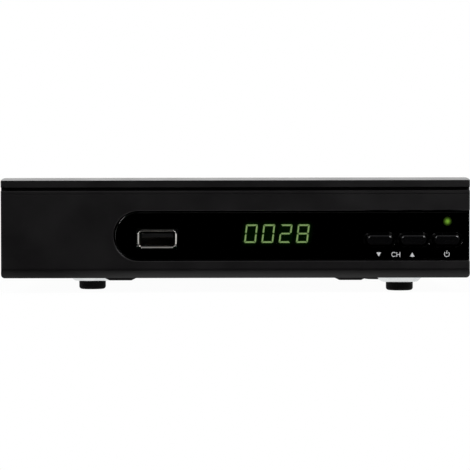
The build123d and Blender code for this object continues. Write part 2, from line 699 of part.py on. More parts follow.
# ------------------------------------------------------------------ function marks on the window
down_x = BUTTON_X[0] - 0.3
up_x = BUTTON_X[1] - 0.4
letters_x = (down_x + up_x) / 2 + 0.2
high_z = MARK_Z + ARROW_UP
low_z = MARK_Z - ARROW_DOWN
letter_z = MARK_Z - LETTER_DROP
with BuildPart() as printed_marks:
    with BuildSketch(front(LENS_FRONT)):
        # downward and upward arrows
        with BuildLine():
            Polyline((down_x - ARROW_HALF, high_z), (down_x + ARROW_HALF, high_z), (down_x, low_z), close=True)
        make_face()
        with BuildLine():
            Polyline((up_x - ARROW_HALF, low_z), (up_x + ARROW_HALF, low_z), (up_x, high_z), close=True)
        make_face()
        # letters C and H
        with Locations((letters_x - 0.85 * LETTER_R, letter_z)):
            Circle(LETTER_R)
            Circle(LETTER_R - STROKE, mode=Mode.SUBTRACT)
            Rectangle(1.2 * LETTER_R, 0.85 * LETTER_R, align=(Align.MIN, Align.CENTER), mode=Mode.SUBTRACT)
        with Locations((letters_x + 0.75 * LETTER_R, letter_z), (letters_x + 1.75 * LETTER_R, letter_z)):
            Rectangle(STROKE, 2 * LETTER_R)
        with Locations((letters_x + 1.25 * LETTER_R, letter_z)):
            Rectangle(LETTER_R, STROKE * 0.9)
        # power sign: an open ring and a bar
        with Locations((BUTTON_X[2], MARK_Z)):
            Circle(POWER_R)
            Circle(POWER_R - STROKE, mode=Mode.SUBTRACT)
            Rectangle(POWER_GAP, 1.2 * POWER_R, align=(Align.CENTER, Align.MIN), mode=Mode.SUBTRACT)
        with Locations((BUTTON_X[2], MARK_Z + 0.15 * POWER_R)):
            Rectangle(STROKE, 1.05 * POWER_R, align=(Align.CENTER, Align.MIN))
    extrude(amount=MARK_T)
keep(printed_marks, "printed_marks")

# ------------------------------------------------------------------ push buttons
for x, name in zip(BUTTON_X, ("ch_down", "ch_up", "power")):
    with BuildPart() as button:
        with BuildSketch(front(CAP_FRONT)):
            with Locations((x, BUTTON_Z)):
                RectangleRounded(CAP_W, CAP_H, CAP_R)
        extrude(amount=-(FLANGE_FRONT - CAP_FRONT))
        fillet(button.faces().sort_by(Axis.Y)[0].edges(), CAP_EDGE)
        # the face leans back towards its foot, so only the upper corners stay round
        crest = BUTTON_Z + CAP_H / 2 - CAP_EDGE
        foot = BUTTON_Z - CAP_H / 2
        with BuildSketch(Plane.YZ.offset(x - CAP_W / 2 - OVER)):
            with BuildLine():
                Polyline(
                    (CAP_FRONT - OVER, crest),
                    (CAP_FRONT, crest),
                    (CAP_FRONT + CAP_SLOPE, foot),
                    (CAP_FRONT + CAP_SLOPE, foot - OVER),
                    (CAP_FRONT - OVER, foot - OVER),
                    close=True,
                )
            make_face()
        extrude(amount=CAP_W + 2 * OVER, mode=Mode.SUBTRACT)
        with BuildSketch(front(FLANGE_FRONT)):
            with Locations((x, BUTTON_Z)):
                RectangleRounded(FLANGE_W, FLANGE_H, FLANGE_R)
        extrude(amount=-FLANGE_T)
    keep(button, f"{name}_button")

    with BuildPart() as plunger:
        rod(x, FLANGE_BACK, FLANGE_BACK + PLUNGER_LENGTH, BUTTON_Z, PLUNGER_R)
    keep(plunger, f"{name}_plunger")

    with BuildPart() as switch:
        half = SWITCH_SIZE / 2
        block(x - half, x + half, FRONT_BOARD_Y - SWITCH_T, FRONT_BOARD_Y, BUTTON_Z - half, BUTTON_Z + half)
        chamfer(switch.edges().filter_by(Axis.Y), SWITCH_CORNER)
        bore_end = FLANGE_BACK + PLUNGER_LENGTH + TRAVEL + PLUNGER_END_GAP
        rod(x, FRONT_BOARD_Y - SWITCH_T - OVER, bore_end, BUTTON_Z, PLUNGER_R + PLUNGER_FIT, Mode.SUBTRACT)
    keep(switch, f"{name}_switch")

# ------------------------------------------------------------------ status LED and IR receiver
led_foot = FRONT_BOARD_Y - LED_STAND
with BuildPart() as status_led:
    rod(LED_X, LENS_BACK + LED_GAP + LED_R, led_foot, LED_Z, LED_R)
    with Locations((LED_X, LENS_BACK + LED_GAP + LED_R, LED_Z)):
        Sphere(LED_R)
    rod(LED_X, led_foot - LED_RIM_T, led_foot, LED_Z, LED_R + LED_RIM)
    for x in (LED_X - LED_LEAD_PITCH / 2, LED_X + LED_LEAD_PITCH / 2):
        block(x - LEAD / 2, x + LEAD / 2, led_foot - LEAD, FRONT_BOARD_Y, LED_Z - LEAD / 2, LED_Z + LEAD / 2)
keep(status_led, "status_led")

ir_foot = FRONT_BOARD_Y - IR_STAND
ir_face = ir_foot - IR_T
with BuildPart() as ir_receiver:
    block(IR_X - IR_W / 2, IR_X + IR_W / 2, ir_face, ir_foot, IR_Z - IR_DOWN, IR_Z + IR_UP)
    chamfer(ir_receiver.edges().filter_by(Axis.Z), 0.4)
    with Locations((IR_X, ir_face, IR_Z)):
        Sphere(IR_LENS_R)
    for x in (IR_X - IR_LENS_R, IR_X, IR_X + IR_LENS_R):
        block(x - LEAD / 2, x + LEAD / 2, ir_foot - LEAD, FRONT_BOARD_Y,
              IR_Z - IR_DOWN + LEAD, IR_Z - IR_DOWN + 2 * LEAD)
keep(ir_receiver, "ir_receiver")

# ------------------------------------------------------------------ display
with BuildPart() as display_module:
    block(DISPLAY_X - DISPLAY_W / 2, DISPLAY_X + DISPLAY_W / 2, DISPLAY_FRONT, FRONT_BOARD_Y,
          DISPLAY_Z - DISPLAY_H / 2, DISPLAY_Z + DISPLAY_H / 2)
    chamfer(display_module.edges().filter_by(Axis.Y), DISPLAY_CORNER)
keep(display_module, "display_module")


# the seven places of a digit: offset right, offset up, upright or not
reach_x = (DIGIT_W - SEGMENT) / 2
reach_z = (DIGIT_H - SEGMENT) / 4
PLACES = {
    "a": (0, 2 * reach_z, False),
    "b": (reach_x, reach_z, True),
    "c": (reach_x, -reach_z, True),
    "d": (0, -2 * reach_z, False),
    "e": (-reach_x, -reach_z, True),
    "f": (-reach_x, reach_z, True),
    "g": (0, 0, False),
}
LIT = ("abcdef", "abcdef", "abged", "abcdefg")
digit_x = [DISPLAY_X + (place - 1.5) * DIGIT_PITCH for place in range(4)]
with BuildPart() as display_segments:
    for x, letters in zip(digit_x, LIT):
        for letter in letters:
            u, v, upright = PLACES[letter]
            run = 2 * reach_z if upright else 2 * reach_x
            half = (run - SEGMENT_GAP) / 2
            tip = SEGMENT / 2
            # mitred where two segments make a corner of the digit, pointed at its middle
            mitre = [(half + tip, tip), (half - tip, -tip)]
            point = [(tip - half, -tip), (-half, 0), (tip - half, tip)]
            right = 1 if u > 0 else -1
            up = 1 if v > 0 else -1
            if upright:
                outline = [(right * b, up * a) for a, b in mitre + point]
            elif letter == "g":
                outline = point + [(-a, -b) for a, b in point]
            else:
                outline = [(a, up * b) for a, b in mitre + [(-a, b) for a, b in reversed(mitre)]]
            points = [(x + u + a + DIGIT_SLANT * (v + b), DISPLAY_Z + v + b) for a, b in outline]
            with BuildSketch(front(DISPLAY_FRONT)):
                with BuildLine():
                    Polyline(*points, close=True)
                make_face()
            extrude(amount=SEGMENT_T)
keep(display_segments, "display_segments")

# ------------------------------------------------------------------ front board
with BuildPart() as front_board:
    block(FRONT_BOARD_X0, FRONT_BOARD_X1, FRONT_BOARD_Y, FRONT_BOARD_BACK, FRONT_BOARD_Z0, FRONT_BOARD_Z1)
    chamfer(front_board.edges().filter_by(Axis.Y), FRONT_BOARD_CORNER)
    for x, z in POSTS:
        rod(x, FRONT_BOARD_Y - OVER, FRONT_BOARD_BACK + OVER, z, TAP_HOLE_R, Mode.SUBTRACT)
keep(front_board, "front_board")

# one small self-tapping screw, seat at z = 0 and point downwards
with BuildPart() as board_screw:
    Cylinder(TAP_R, TAP_LENGTH, align=(Align.CENTER, Align.CENTER, Align.MAX))
    Cylinder(TAP_HEAD_R, TAP_HEAD_H, align=(Align.CENTER, Align.CENTER, Align.MIN))
    fillet(board_screw.faces().sort_by(Axis.Z)[-1].edges(), TAP_HEAD_H * 0.4)
    chamfer(board_screw.faces().sort_by(Axis.Z)[0].edges(), TAP_R * 0.35)
    with Locations((0, 0, TAP_HEAD_H)):
        Box(TAP_HEAD_R, CROSS, TAP_HEAD_H, mode=Mode.SUBTRACT)
        Box(CROSS, TAP_HEAD_R, TAP_HEAD_H, mode=Mode.SUBTRACT)

with BuildPart() as front_board_screws:
    with Locations(*[Location((x, FRONT_BOARD_BACK, z), (-90, 0, 0)) for x, z in POSTS]):
        add(board_screw.part)
keep(front_board_screws, "front_board_screws")

# ------------------------------------------------------------------ USB socket and its board
with BuildPart() as usb_board:
    block(USB_BOARD_X0, USB_BOARD_X1, USB_BOARD_Y0, USB_BOARD_Y1, USB_BOARD_LOW, USB_BOARD_TOP)
    for x in USB_RAIL_X:
        post(x, USB_SCREW_Y, USB_BOARD_LOW - OVER, USB_BOARD_TOP + OVER, TAP_HOLE_R, Mode.SUBTRACT)
keep(usb_board, "usb_board")

with BuildPart() as usb_board_screws:
    with Locations(*[(x, USB_SCREW_Y, USB_BOARD_TOP) for x in USB_RAIL_X]):
        Cylinder(USB_SCREW_R, USB_SCREW_LENGTH, align=(Align.CENTER, Align.CENTER, Align.MAX))
        Cylinder(USB_SCREW_HEAD_R, USB_SCREW_HEAD_H, align=(Align.CENTER, Align.CENTER, Align.MIN))
    with Locations(*[(x, USB_SCREW_Y, USB_BOARD_TOP + USB_SCREW_HEAD_H) for x in USB_RAIL_X]):
        Box(USB_SCREW_HEAD_R, CROSS, USB_SCREW_HEAD_H, mode=Mode.SUBTRACT)
        Box(CROSS, USB_SCREW_HEAD_R, USB_SCREW_HEAD_H, mode=Mode.SUBTRACT)
keep(usb_board_screws, "usb_board_screws")

with BuildPart() as usb_shell:
    with BuildSketch(front(USB_FRONT + USB_LIP_RUN)):
        with Locations((USB_X, USB_Z)):
            RectangleRounded(USB_W, USB_H, USB_CORNER)
    extrude(amount=-(USB_LENGTH - USB_LIP_RUN))
    # the four lips flare outwards
    with BuildSketch(front(USB_FRONT + USB_LIP_RUN)):
        with Locations((USB_X, USB_Z)):
            Rectangle(USB_W, USB_H)
    with BuildSketch(front(USB_FRONT)):
        with Locations((USB_X, USB_Z)):
            Rectangle(USB_LIP_W, USB_LIP_H)
    loft()
    with BuildSketch(front(USB_FRONT + USB_LIP_RUN - USB_SHELL / 30)):
        with Locations((USB_X, USB_Z)):
            RectangleRounded(USB_W - 2 * USB_SHELL, USB_H - 2 * USB_SHELL, USB_CORNER / 2)
    extrude(amount=-(USB_LENGTH - USB_LIP_RUN - USB_SHELL), mode=Mode.SUBTRACT)
    with BuildSketch(front(USB_FRONT + USB_LIP_RUN)):
        with Locations((USB_X, USB_Z)):
            Rectangle(USB_W - 2 * USB_SHELL, USB_H - 2 * USB_SHELL)
    with BuildSketch(front(USB_FRONT - USB_SHELL / 30)):
        with Locations((USB_X, USB_Z)):
            Rectangle(USB_LIP_W - 2 * USB_SHELL, USB_LIP_H - 2 * USB_SHELL)
    loft(mode=Mode.SUBTRACT)
    # the lips part at the corners
    for sx in (-1, 1):
        for sz in (-1, 1):
            with Locations((USB_X + sx * USB_LIP_W / 2, USB_FRONT, USB_Z + sz * USB_LIP_H / 2)):
                Box(USB_SLIT, 1.75 * USB_LIP_RUN, USB_SLIT, mode=Mode.SUBTRACT)
keep(usb_shell, "usb_shell")

shell_end = USB_END - USB_SHELL
with BuildPart() as usb_insulator:
    side = USB_W / 2 - USB_SHELL - FIT
    rise = USB_H / 2 - USB_SHELL - SEAT
    block(USB_X - side, USB_X + side, shell_end - TONGUE_ROOT - SEAT, shell_end - SEAT,
          USB_Z - rise, USB_Z + rise)
    block(USB_X - TONGUE_HALF, USB_X + TONGUE_HALF, USB_FRONT + TONGUE_SETBACK, shell_end - TONGUE_ROOT,
          TONGUE_LOW, TONGUE_TOP)
    chamfer(usb_insulator.faces().sort_by(Axis.Y)[0].edges().filter_by(Axis.X), USB_SHELL)
keep(usb_insulator, "usb_insulator")

with BuildPart() as usb_contacts:
    for x in [USB_X + dx for dx in USB_CONTACT_X]:
        block(x - USB_CONTACT_W / 2, x + USB_CONTACT_W / 2, USB_FRONT + TONGUE_SETBACK + 0.8,
              shell_end - TONGUE_ROOT - 0.2, TONGUE_LOW - USB_CONTACT_T, TONGUE_LOW)
keep(usb_contacts, "usb_contacts")

# two small headers and the cable between them
front_header_y = USB_BOARD_Y1 - 6.0
down_y = MAIN_Y0 + 7.3
cable_z = USB_BOARD_TOP + USB_HEADER_H * 0.6
header_x = (USB_HEADER_X - USB_HEADER_W / 2, USB_HEADER_X + USB_HEADER_W / 2)
with BuildPart() as usb_headers:
    block(*header_x, front_header_y - USB_HEADER_D, front_header_y, USB_BOARD_TOP, USB_BOARD_TOP + USB_HEADER_H)
    block(*header_x, down_y - USB_HEADER_D / 2, down_y + USB_HEADER_D / 2, MAIN_TOP, MAIN_TOP + USB_HEADER_H)
keep(usb_headers, "usb_headers")

with BuildPart() as usb_cable:
    with BuildLine(Plane.YZ.offset(USB_HEADER_X)) as usb_run:
        FilletPolyline(
            (front_header_y, cable_z),
            (down_y, cable_z),
            (down_y, MAIN_TOP + USB_HEADER_H),
            radius=USB_CABLE_BEND,
        )
    with BuildSketch(Plane(origin=usb_run.line @ 0, z_dir=usb_run.line % 0)):
        Circle(USB_CABLE_R)
    sweep()
keep(usb_cable, "usb_cable")

# ------------------------------------------------------------------ feet
for name, x, y in FEET:
    with BuildPart() as foot:
        post(x, y, 0, FOOT_H, FOOT_R)
        fillet(foot.faces().sort_by(Axis.Z)[0].edges(), FOOT_EDGE)
        post(x, y, -OVER, FOOT_PIT, FOOT_PIT_R, Mode.SUBTRACT)
        barb_z = FOOT_H + SHEET + SEAT
        post(x, y, FOOT_H - SHEET, barb_z + SHEET, STEM_R)
        post(x, y, barb_z, barb_z + BARB_T, BARB_R)
        chamfer(foot.faces().sort_by(Axis.Z)[-1].edges(), BARB_EDGE)
    keep(foot, name)

# ------------------------------------------------------------------ steel base
up = (Align.CENTER, Align.CENTER, Align.MIN)
with BuildPart() as foot_dish:
    with Locations((0, 0, FOOT_H)):
        Cone(BOSS_BOTTOM_R, BOSS_TOP_R, FLOOR_Z - FOOT_H + SHEET / 8, align=up)
    fillet(foot_dish.faces().sort_by(Axis.Z)[0].edges(), BOSS_ROUND)

with BuildPart() as foot_hollow:
    with Locations((0, 0, FOOT_H + SHEET)):
        Cone(BOSS_BOTTOM_R - BOSS_IN_BOTTOM, BOSS_TOP_R - BOSS_IN_TOP, FLOOR_Z - FOOT_H + SHEET / 8, align=up)
    post(0, 0, FOOT_H - OVER, FOOT_H + SHEET + OVER, STEM_HOLE_R)

with BuildPart() as raised_seat:
    with Locations((0, 0, FLOOR_TOP - SHEET / 8)):
        Cone(SEAT_FOOT_R, SEAT_TOP_R, MAIN_Z - FLOOR_TOP + SHEET / 8, align=up)

with BuildPart() as seat_hollow:
    with Locations((0, 0, FLOOR_Z - SHEET / 8)):
        Cone(SEAT_FOOT_R - SEAT_WALL, SEAT_TOP_R - SEAT_WALL, MAIN_Z - FLOOR_TOP + SHEET / 8, align=up)
    post(0, 0, FLOOR_Z, MAIN_Z + OVER, TAP_PILOT_R)

with BuildPart() as base_chassis:
    block(-TRAY_HALF, TRAY_HALF, TRAY_FRONT, Y_REAR, FLOOR_Z, FLOOR_TOP)
    for side in (-1, 1):
        low, high = sorted((side * TRAY_HALF, side * TRAY_IN))
        block(low, high, SIDE_FRONT, Y_REAR, FLOOR_Z, FLANGE_TOP)
    block(-TRAY_HALF, TRAY_HALF, TRAY_FRONT, TRAY_FRONT + SHEET, FLOOR_Z, FRONT_FLANGE_TOP)
    block(-TRAY_HALF, TRAY_HALF, REAR_IN, Y_REAR, FLOOR_Z, REAR_TOP)
    block(-TRAY_HALF + REAR_FLANGE_IN, TRAY_HALF - REAR_FLANGE_IN, Y_REAR - REAR_FLANGE, Y_REAR,
          REAR_TOP - SHEET, REAR_TOP)
    # formed dishes for the feet, and raised seats for the main board
    with Locations(*[(x, y, 0) for _, x, y in FEET]):
        add(foot_dish.part)
        add(foot_hollow.part, mode=Mode.SUBTRACT)
    with Locations(*[(x, y, 0) for x, y in STANDOFFS]):
        add(raised_seat.part)
        add(seat_hollow.part, mode=Mode.SUBTRACT)
    # cooling slots in the floor
    slot_length, pitch, count = FLOOR_VENT
    with BuildSketch(Plane.XY.offset(FLOOR_Z)):
        with Locations((10.0, CHIP_Y - 12.0), (-18.0, CHIP_Y + 28.0)):
            with GridLocations(pitch, 0, count, 1):
                SlotOverall(slot_length, VENT_W, rotation=90)
    extrude(amount=SHEET, mode=Mode.SUBTRACT)
    # slots for the clip nibs and for the side arms
    for x in (-CLIP_X, CLIP_X):
        half = NIB_W / 2 + NIB_GAP
        block(x - half, x + half, CLIP_BACK - NIB_T - NIB_GAP, CLIP_BACK + 3 * NIB_GAP,
              FLOOR_Z - OVER, FLOOR_TOP + OVER / 10, Mode.SUBTRACT)
    for side in (-1, 1):
        low, high = sorted((side * (TRAY_HALF + OVER), side * (TRAY_IN - SHEET / 8)))
        block(low, high, ARM_NIB_Y0 - NIB_GAP, ARM_NIB_Y1 + NIB_GAP,
              ARM_LOW + ARM_NIB_IN - NIB_GAP, ARM_LOW + ARM_H - ARM_NIB_IN + NIB_GAP, Mode.SUBTRACT)
    # holes for the cover's screws
    for x, z in REAR_SCREWS:
        rod(x, REAR_IN - OVER, Y_REAR + OVER, z, SCREW_R + SEAT, Mode.SUBTRACT)
    with Locations(*[Location((0, y, SIDE_SCREW_Z), (0, 90, 0)) for y in SIDE_SCREW_Y]):
        Cylinder(SCREW_R + SEAT, 2 * (TRAY_HALF + OVER), mode=Mode.SUBTRACT)
    # openings for the rear sockets
    wall = (REAR_IN - OVER, Y_REAR + OVER)
    rod(F_X, *wall, F_Z, F_COLLAR_R + 0.2, Mode.SUBTRACT)
    for x, width, height in ((LAN_X, LAN_W, LAN_H), (HDMI_X, HDMI_W, HDMI_H), (SCART_X, SCART_W, SCART_H)):
        half = width / 2 + PANEL_GAP
        block(x - half, x + half, *wall, MAIN_TOP - PANEL_GAP, MAIN_TOP + height + PANEL_GAP, Mode.SUBTRACT)
    rod(RCA_X, *wall, RCA_Z, RCA_COLLAR_R + FIT, Mode.SUBTRACT)
    rod(DC_X, *wall, DC_Z, DC_RIM_R + 0.25, Mode.SUBTRACT)
keep(base_chassis, "base_chassis")

# ------------------------------------------------------------------ top cover
with BuildPart() as top_cover:
    with BuildSketch(front(COVER_FRONT)) as hoop:
        with Locations((0, FLOOR_Z)):
            Rectangle(2 * COVER_HALF, COVER_TOP - FLOOR_Z, align=(Align.CENTER, Align.MIN))
        fillet(hoop.vertices().group_by(Axis.Y)[-1], COVER_BEND)
        with Locations((0, FLOOR_Z - 1)):
            Rectangle(2 * (COVER_HALF - SHEET), COVER_TOP - SHEET - FLOOR_Z + 1,
                      align=(Align.CENTER, Align.MIN), mode=Mode.SUBTRACT)
    extrude(amount=-(COVER_BACK - COVER_FRONT))
    block(-COVER_HALF + REAR_LIP_IN, COVER_HALF - REAR_LIP_IN, COVER_BACK - SHEET, COVER_BACK,
          COVER_TOP - REAR_LIP, COVER_TOP - SHEET / 2)
    # the tallest socket may reach up past the lip, so its outline is cut there too
    half = SCART_W / 2 + PANEL_GAP
    block(SCART_X - half, SCART_X + half, Y_REAR, COVER_BACK + OVER,
          MAIN_TOP, MAIN_TOP + SCART_H + PANEL_GAP, Mode.SUBTRACT)
    # cooling slots: two rows on top, one on each side
    slot_length, pitch, count = TOP_VENT
    first = COVER_FRONT + VENT_START + slot_length / 2
    with BuildSketch(Plane.XY.offset(COVER_TOP - SHEET)):
        with Locations((0, first), (0, first + slot_length + TOP_VENT_GAP)):
            with GridLocations(pitch, 0, count, 1):
                SlotOverall(slot_length, VENT_W, rotation=90)
    extrude(amount=SHEET, mode=Mode.SUBTRACT)
    slot_length, pitch, count = SIDE_VENT
    with BuildSketch(Plane.YZ.offset(-COVER_HALF - OVER)):
        with Locations((0, SIDE_VENT_Z)):
            with GridLocations(pitch, 0, count, 1):
                SlotOverall(slot_length, VENT_W, rotation=90)
    extrude(amount=2 * (COVER_HALF + OVER), mode=Mode.SUBTRACT)
    for x, z in REAR_SCREWS:
        rod(x, Y_REAR - OVER, COVER_BACK + OVER, z, SCREW_R + SCREW_FREE + SEAT, Mode.SUBTRACT)
    with Locations(*[Location((0, y, SIDE_SCREW_Z), (0, 90, 0)) for y in SIDE_SCREW_Y]):
        Cylinder(SCREW_R + SCREW_FREE + SEAT, 2 * (COVER_HALF + OVER), mode=Mode.SUBTRACT)
keep(top_cover, "top_cover")

# one pan-head screw with a cross recess, seat at z = 0 and point downwards
with BuildPart() as cover_screw:
    Cylinder(SCREW_R, SCREW_LENGTH, align=(Align.CENTER, Align.CENTER, Align.MAX))
    Cylinder(SCREW_HEAD_R, SCREW_HEAD_H, align=(Align.CENTER, Align.CENTER, Align.MIN))
    fillet(cover_screw.faces().sort_by(Axis.Z)[-1].edges(), SCREW_HEAD_ROUND)
    chamfer(cover_screw.faces().sort_by(Axis.Z)[0].edges(), SCREW_TIP)
    with Locations((0, 0, SCREW_HEAD_H)):
        Box(SCREW_CROSS_L, SCREW_CROSS_W, 2 * SCREW_CROSS_DEPTH, mode=Mode.SUBTRACT)
        Box(SCREW_CROSS_W, SCREW_CROSS_L, 2 * SCREW_CROSS_DEPTH, mode=Mode.SUBTRACT)

with BuildPart() as cover_screws:
    with Locations(*[Location((x, COVER_BACK, z), (-90, 0, 0)) for x, z in REAR_SCREWS]):
        add(cover_screw.part)
    with Locations(*[Location((COVER_HALF, y, SIDE_SCREW_Z), (0, 90, 0)) for y in SIDE_SCREW_Y]):
        add(cover_screw.part)
    with Locations(*[Location((-COVER_HALF, y, SIDE_SCREW_Z), (0, -90, 0)) for y in SIDE_SCREW_Y]):
        add(cover_screw.part)
keep(cover_screws, "cover_screws")

# ------------------------------------------------------------------ main board
with BuildPart() as main_board:
    block(MAIN_X0, MAIN_X1, MAIN_Y0, MAIN_Y1, MAIN_Z, MAIN_TOP)
    chamfer(main_board.edges().filter_by(Axis.Z), MAIN_CORNER)
    for x, y in STANDOFFS:
        post(x, y, MAIN_Z - OVER, MAIN_TOP + OVER, TAP_HOLE_R + 0.25, Mode.SUBTRACT)
keep(main_board, "main_board")

with BuildPart() as main_board_screws:
    with Locations(*[(x, y, MAIN_TOP) for x, y in STANDOFFS]):
        add(board_screw.part)
keep(main_board_screws, "main_board_screws")

with BuildPart() as main_chip:
    with Locations((0, CHIP_Y, MAIN_TOP)):
        Box(CHIP_SIZE, CHIP_SIZE, CHIP_T, align=up)
    chamfer(main_chip.edges().filter_by(Axis.Z), CHIP_CORNER)
keep(main_chip, "main_chip")

with BuildPart() as heatsink:
    with Locations((0, CHIP_Y, MAIN_TOP + CHIP_T)):
        Box(SINK_SIZE, SINK_SIZE, SINK_BASE, align=up)
    with Locations((0, CHIP_Y, MAIN_TOP + CHIP_T + SINK_BASE)):
        with GridLocations(FIN_PITCH, 0, 7, 1):
            Box(FIN_T, SINK_SIZE, FIN_H, align=up)
keep(heatsink, "heatsink")

for number, x in enumerate(MEMORY_X, start=1):
    with BuildPart() as memory_chip:
        with Locations((x, MEMORY_Y, MAIN_TOP)):
            Box(*MEMORY, align=up)
    keep(memory_chip, f"memory_chip_{number}")

for number, y in enumerate(CAN_Y, start=1):
    with BuildPart() as capacitor:
        post(CAN_X, y, MAIN_TOP, MAIN_TOP + CAN_H, CAN_R)
        fillet(capacitor.edges().filter_by(GeomType.CIRCLE).group_by(Axis.Z)[-1], CAN_EDGE)
        with Locations((CAN_X, y, MAIN_TOP + CAN_BEAD_Z)):
            Torus(CAN_R + CAN_EDGE / 2, CAN_EDGE, mode=Mode.SUBTRACT)
        score_length, score_width, score_depth = CAN_SCORE
        with Locations((CAN_X, y, MAIN_TOP + CAN_H)):
            Box(score_length, score_width, 2 * score_depth, mode=Mode.SUBTRACT)
            Box(score_width, score_length, 2 * score_depth, mode=Mode.SUBTRACT)
    keep(capacitor, f"capacitor_{number}")

with BuildPart() as inductor:
    with Locations((COIL_X, COIL_Y, MAIN_TOP)):
        Box(COIL_SIZE, COIL_SIZE, COIL_H, align=up)
    chamfer(inductor.edges().filter_by(Axis.Z), COIL_CORNER)
    coil_top = MAIN_TOP + COIL_H
    post(COIL_X, COIL_Y, coil_top - COIL_WELL, coil_top + OVER, COIL_WELL_R, Mode.SUBTRACT)
    post(COIL_X, COIL_Y, coil_top - COIL_WELL - ROOT, coil_top, COIL_CORE_R)
keep(inductor, "inductor")

# ------------------------------------------------------------------ ribbon between the boards
board_end = FRONT_BOARD_BACK + PLUG_HEADER_H
header_x = (RIBBON_X - PLUG_HEADER_W / 2, RIBBON_X + PLUG_HEADER_W / 2)
header_half = PLUG_HEADER_D / 2
with BuildPart() as ribbon_headers:
    block(*header_x, FRONT_BOARD_BACK, board_end, RIBBON_Z - header_half, RIBBON_Z + header_half)
    block(*header_x, RIBBON_DOWN_Y - header_half, RIBBON_DOWN_Y + header_half,
          MAIN_TOP, MAIN_TOP + PLUG_HEADER_H)
keep(ribbon_headers, "ribbon_headers")

with BuildPart() as ribbon_cable:
    with BuildSketch(Plane.YZ.offset(RIBBON_X - RIBBON_W / 2)):
        with BuildLine() as ribbon_run:
            FilletPolyline(
                (board_end, RIBBON_Z),
                (RIBBON_TURN_Y, RIBBON_Z),
                (RIBBON_TURN_Y, RIBBON_Z + RIBBON_RISE),
                (RIBBON_DOWN_Y, RIBBON_Z + RIBBON_RISE),
                (RIBBON_DOWN_Y, MAIN_TOP + PLUG_HEADER_H),
                radius=RIBBON_BEND,
            )
        trace(ribbon_run.line, RIBBON_T)
    extrude(amount=RIBBON_W)
keep(ribbon_cable, "ribbon_cable")

# ------------------------------------------------------------------ tuner and F connector
with BuildPart() as tuner_can:
    low, high = F_X - TUNER_W / 2, F_X + TUNER_W / 2
    lid = MAIN_TOP + TUNER_H
    block(low, high, TUNER_FRONT, TUNER_BACK, MAIN_TOP, lid)
    chamfer(tuner_can.edges().filter_by(Axis.Z), TUNER_CORNER)
    block(low + TUNER_LID_IN, high - TUNER_LID_IN, TUNER_FRONT + TUNER_LID_IN, TUNER_BACK - 2 * TUNER_LID_IN,
          lid - TUNER_LID_DEPTH, lid + OVER, Mode.SUBTRACT)
keep(tuner_can, "tuner_can")

with BuildPart() as f_connector:
    rod(F_X, TUNER_BACK, F_TIP, F_Z, F_R)
    chamfer(f_connector.faces().sort_by(Axis.Y)[-1].edges(), F_EDGE)
    rod(F_X, TUNER_BACK, Y_REAR + F_NUT_T, F_Z, F_COLLAR_R)
    rod(F_X, TUNER_BACK + OVER, F_TIP + OVER, F_Z, F_BORE_R, Mode.SUBTRACT)
keep(f_connector, "f_connector")

with BuildPart() as f_insulator:
    rod(F_X, TUNER_BACK + OVER, F_TIP - 0.6, F_Z, F_BORE_R)
    chamfer(f_insulator.faces().sort_by(Axis.Y)[-1].edges(), F_EDGE)
    rod(F_X, F_TIP - F_PIN_DEPTH, F_TIP, F_Z, F_PIN_R, Mode.SUBTRACT)
keep(f_insulator, "f_insulator")

with BuildPart() as f_nut:
    with BuildSketch(front(Y_REAR + F_NUT_T)):
        with Locations((F_X, F_Z)):
            RegularPolygon(F_NUT_AF / 2, 6, major_radius=False)
    extrude(amount=F_NUT_T)
    with BuildSketch(front(Y_REAR + F_NUT_T)):
        with Locations((F_X, F_Z)):
            Circle(F_COLLAR_R + SEAT)
    extrude(amount=F_NUT_T, mode=Mode.SUBTRACT)
keep(f_nut, "f_nut")

# ------------------------------------------------------------------ LAN socket
half = LAN_W / 2
with BuildPart() as lan_shield:
    block(LAN_X - half, LAN_X + half, LAN_IN, LAN_TIP, MAIN_TOP, MAIN_TOP + LAN_H)
    bare = half - LAN_SHEET
    block(LAN_X - bare, LAN_X + bare, LAN_IN + LAN_SHEET, LAN_TIP + OVER,
          MAIN_TOP + LAN_SHEET, MAIN_TOP + LAN_H - LAN_SHEET, Mode.SUBTRACT)
keep(lan_shield, "lan_shield")

with BuildPart() as lan_insert:
    edge = LAN_SHEET + SEAT
    block(LAN_X - half + edge, LAN_X + half - edge, LAN_IN + edge, LAN_TIP - LAN_SETBACK,
          MAIN_TOP + edge, MAIN_TOP + LAN_H - edge)
    # the plug's opening, and the two steps of its latch below it
    with BuildSketch(front(LAN_TIP)):
        with Locations((LAN_X, PLUG_LOW)):
            Rectangle(PLUG_W, PLUG_H, align=(Align.CENTER, Align.MIN))
            Rectangle(LATCH_W, 2 * LATCH_H)
            Rectangle(LATCH_TIP_W, 2 * (LATCH_H + LATCH_TIP_H))
    extrude(amount=PLUG_DEPTH, mode=Mode.SUBTRACT)
keep(lan_insert, "lan_insert")

with BuildPart() as lan_contacts:
    with Locations((LAN_X, LAN_TIP - PLUG_DEPTH / 2, PLUG_LOW + PLUG_H)):
        with GridLocations(LAN_PITCH, 0, 8, 1):
            Box(LAN_WIRE, PLUG_DEPTH * 0.6, 1.5 * LAN_WIRE, align=(Align.CENTER, Align.CENTER, Align.MAX))
keep(lan_contacts, "lan_contacts")

# ------------------------------------------------------------------ HDMI socket
def hdmi_outline(inset):
    """The socket's outline with sloping lower corners, drawn inwards by this much."""
    w = HDMI_W / 2 - inset
    low = MAIN_TOP + inset
    high = MAIN_TOP + HDMI_H - inset
    return (
        (HDMI_X - w, high),
        (HDMI_X + w, high),
        (HDMI_X + w, low + HDMI_SLOPE_H),
        (HDMI_X + w - HDMI_SLOPE_W, low),
        (HDMI_X - w + HDMI_SLOPE_W, low),
        (HDMI_X - w, low + HDMI_SLOPE_H),
    )


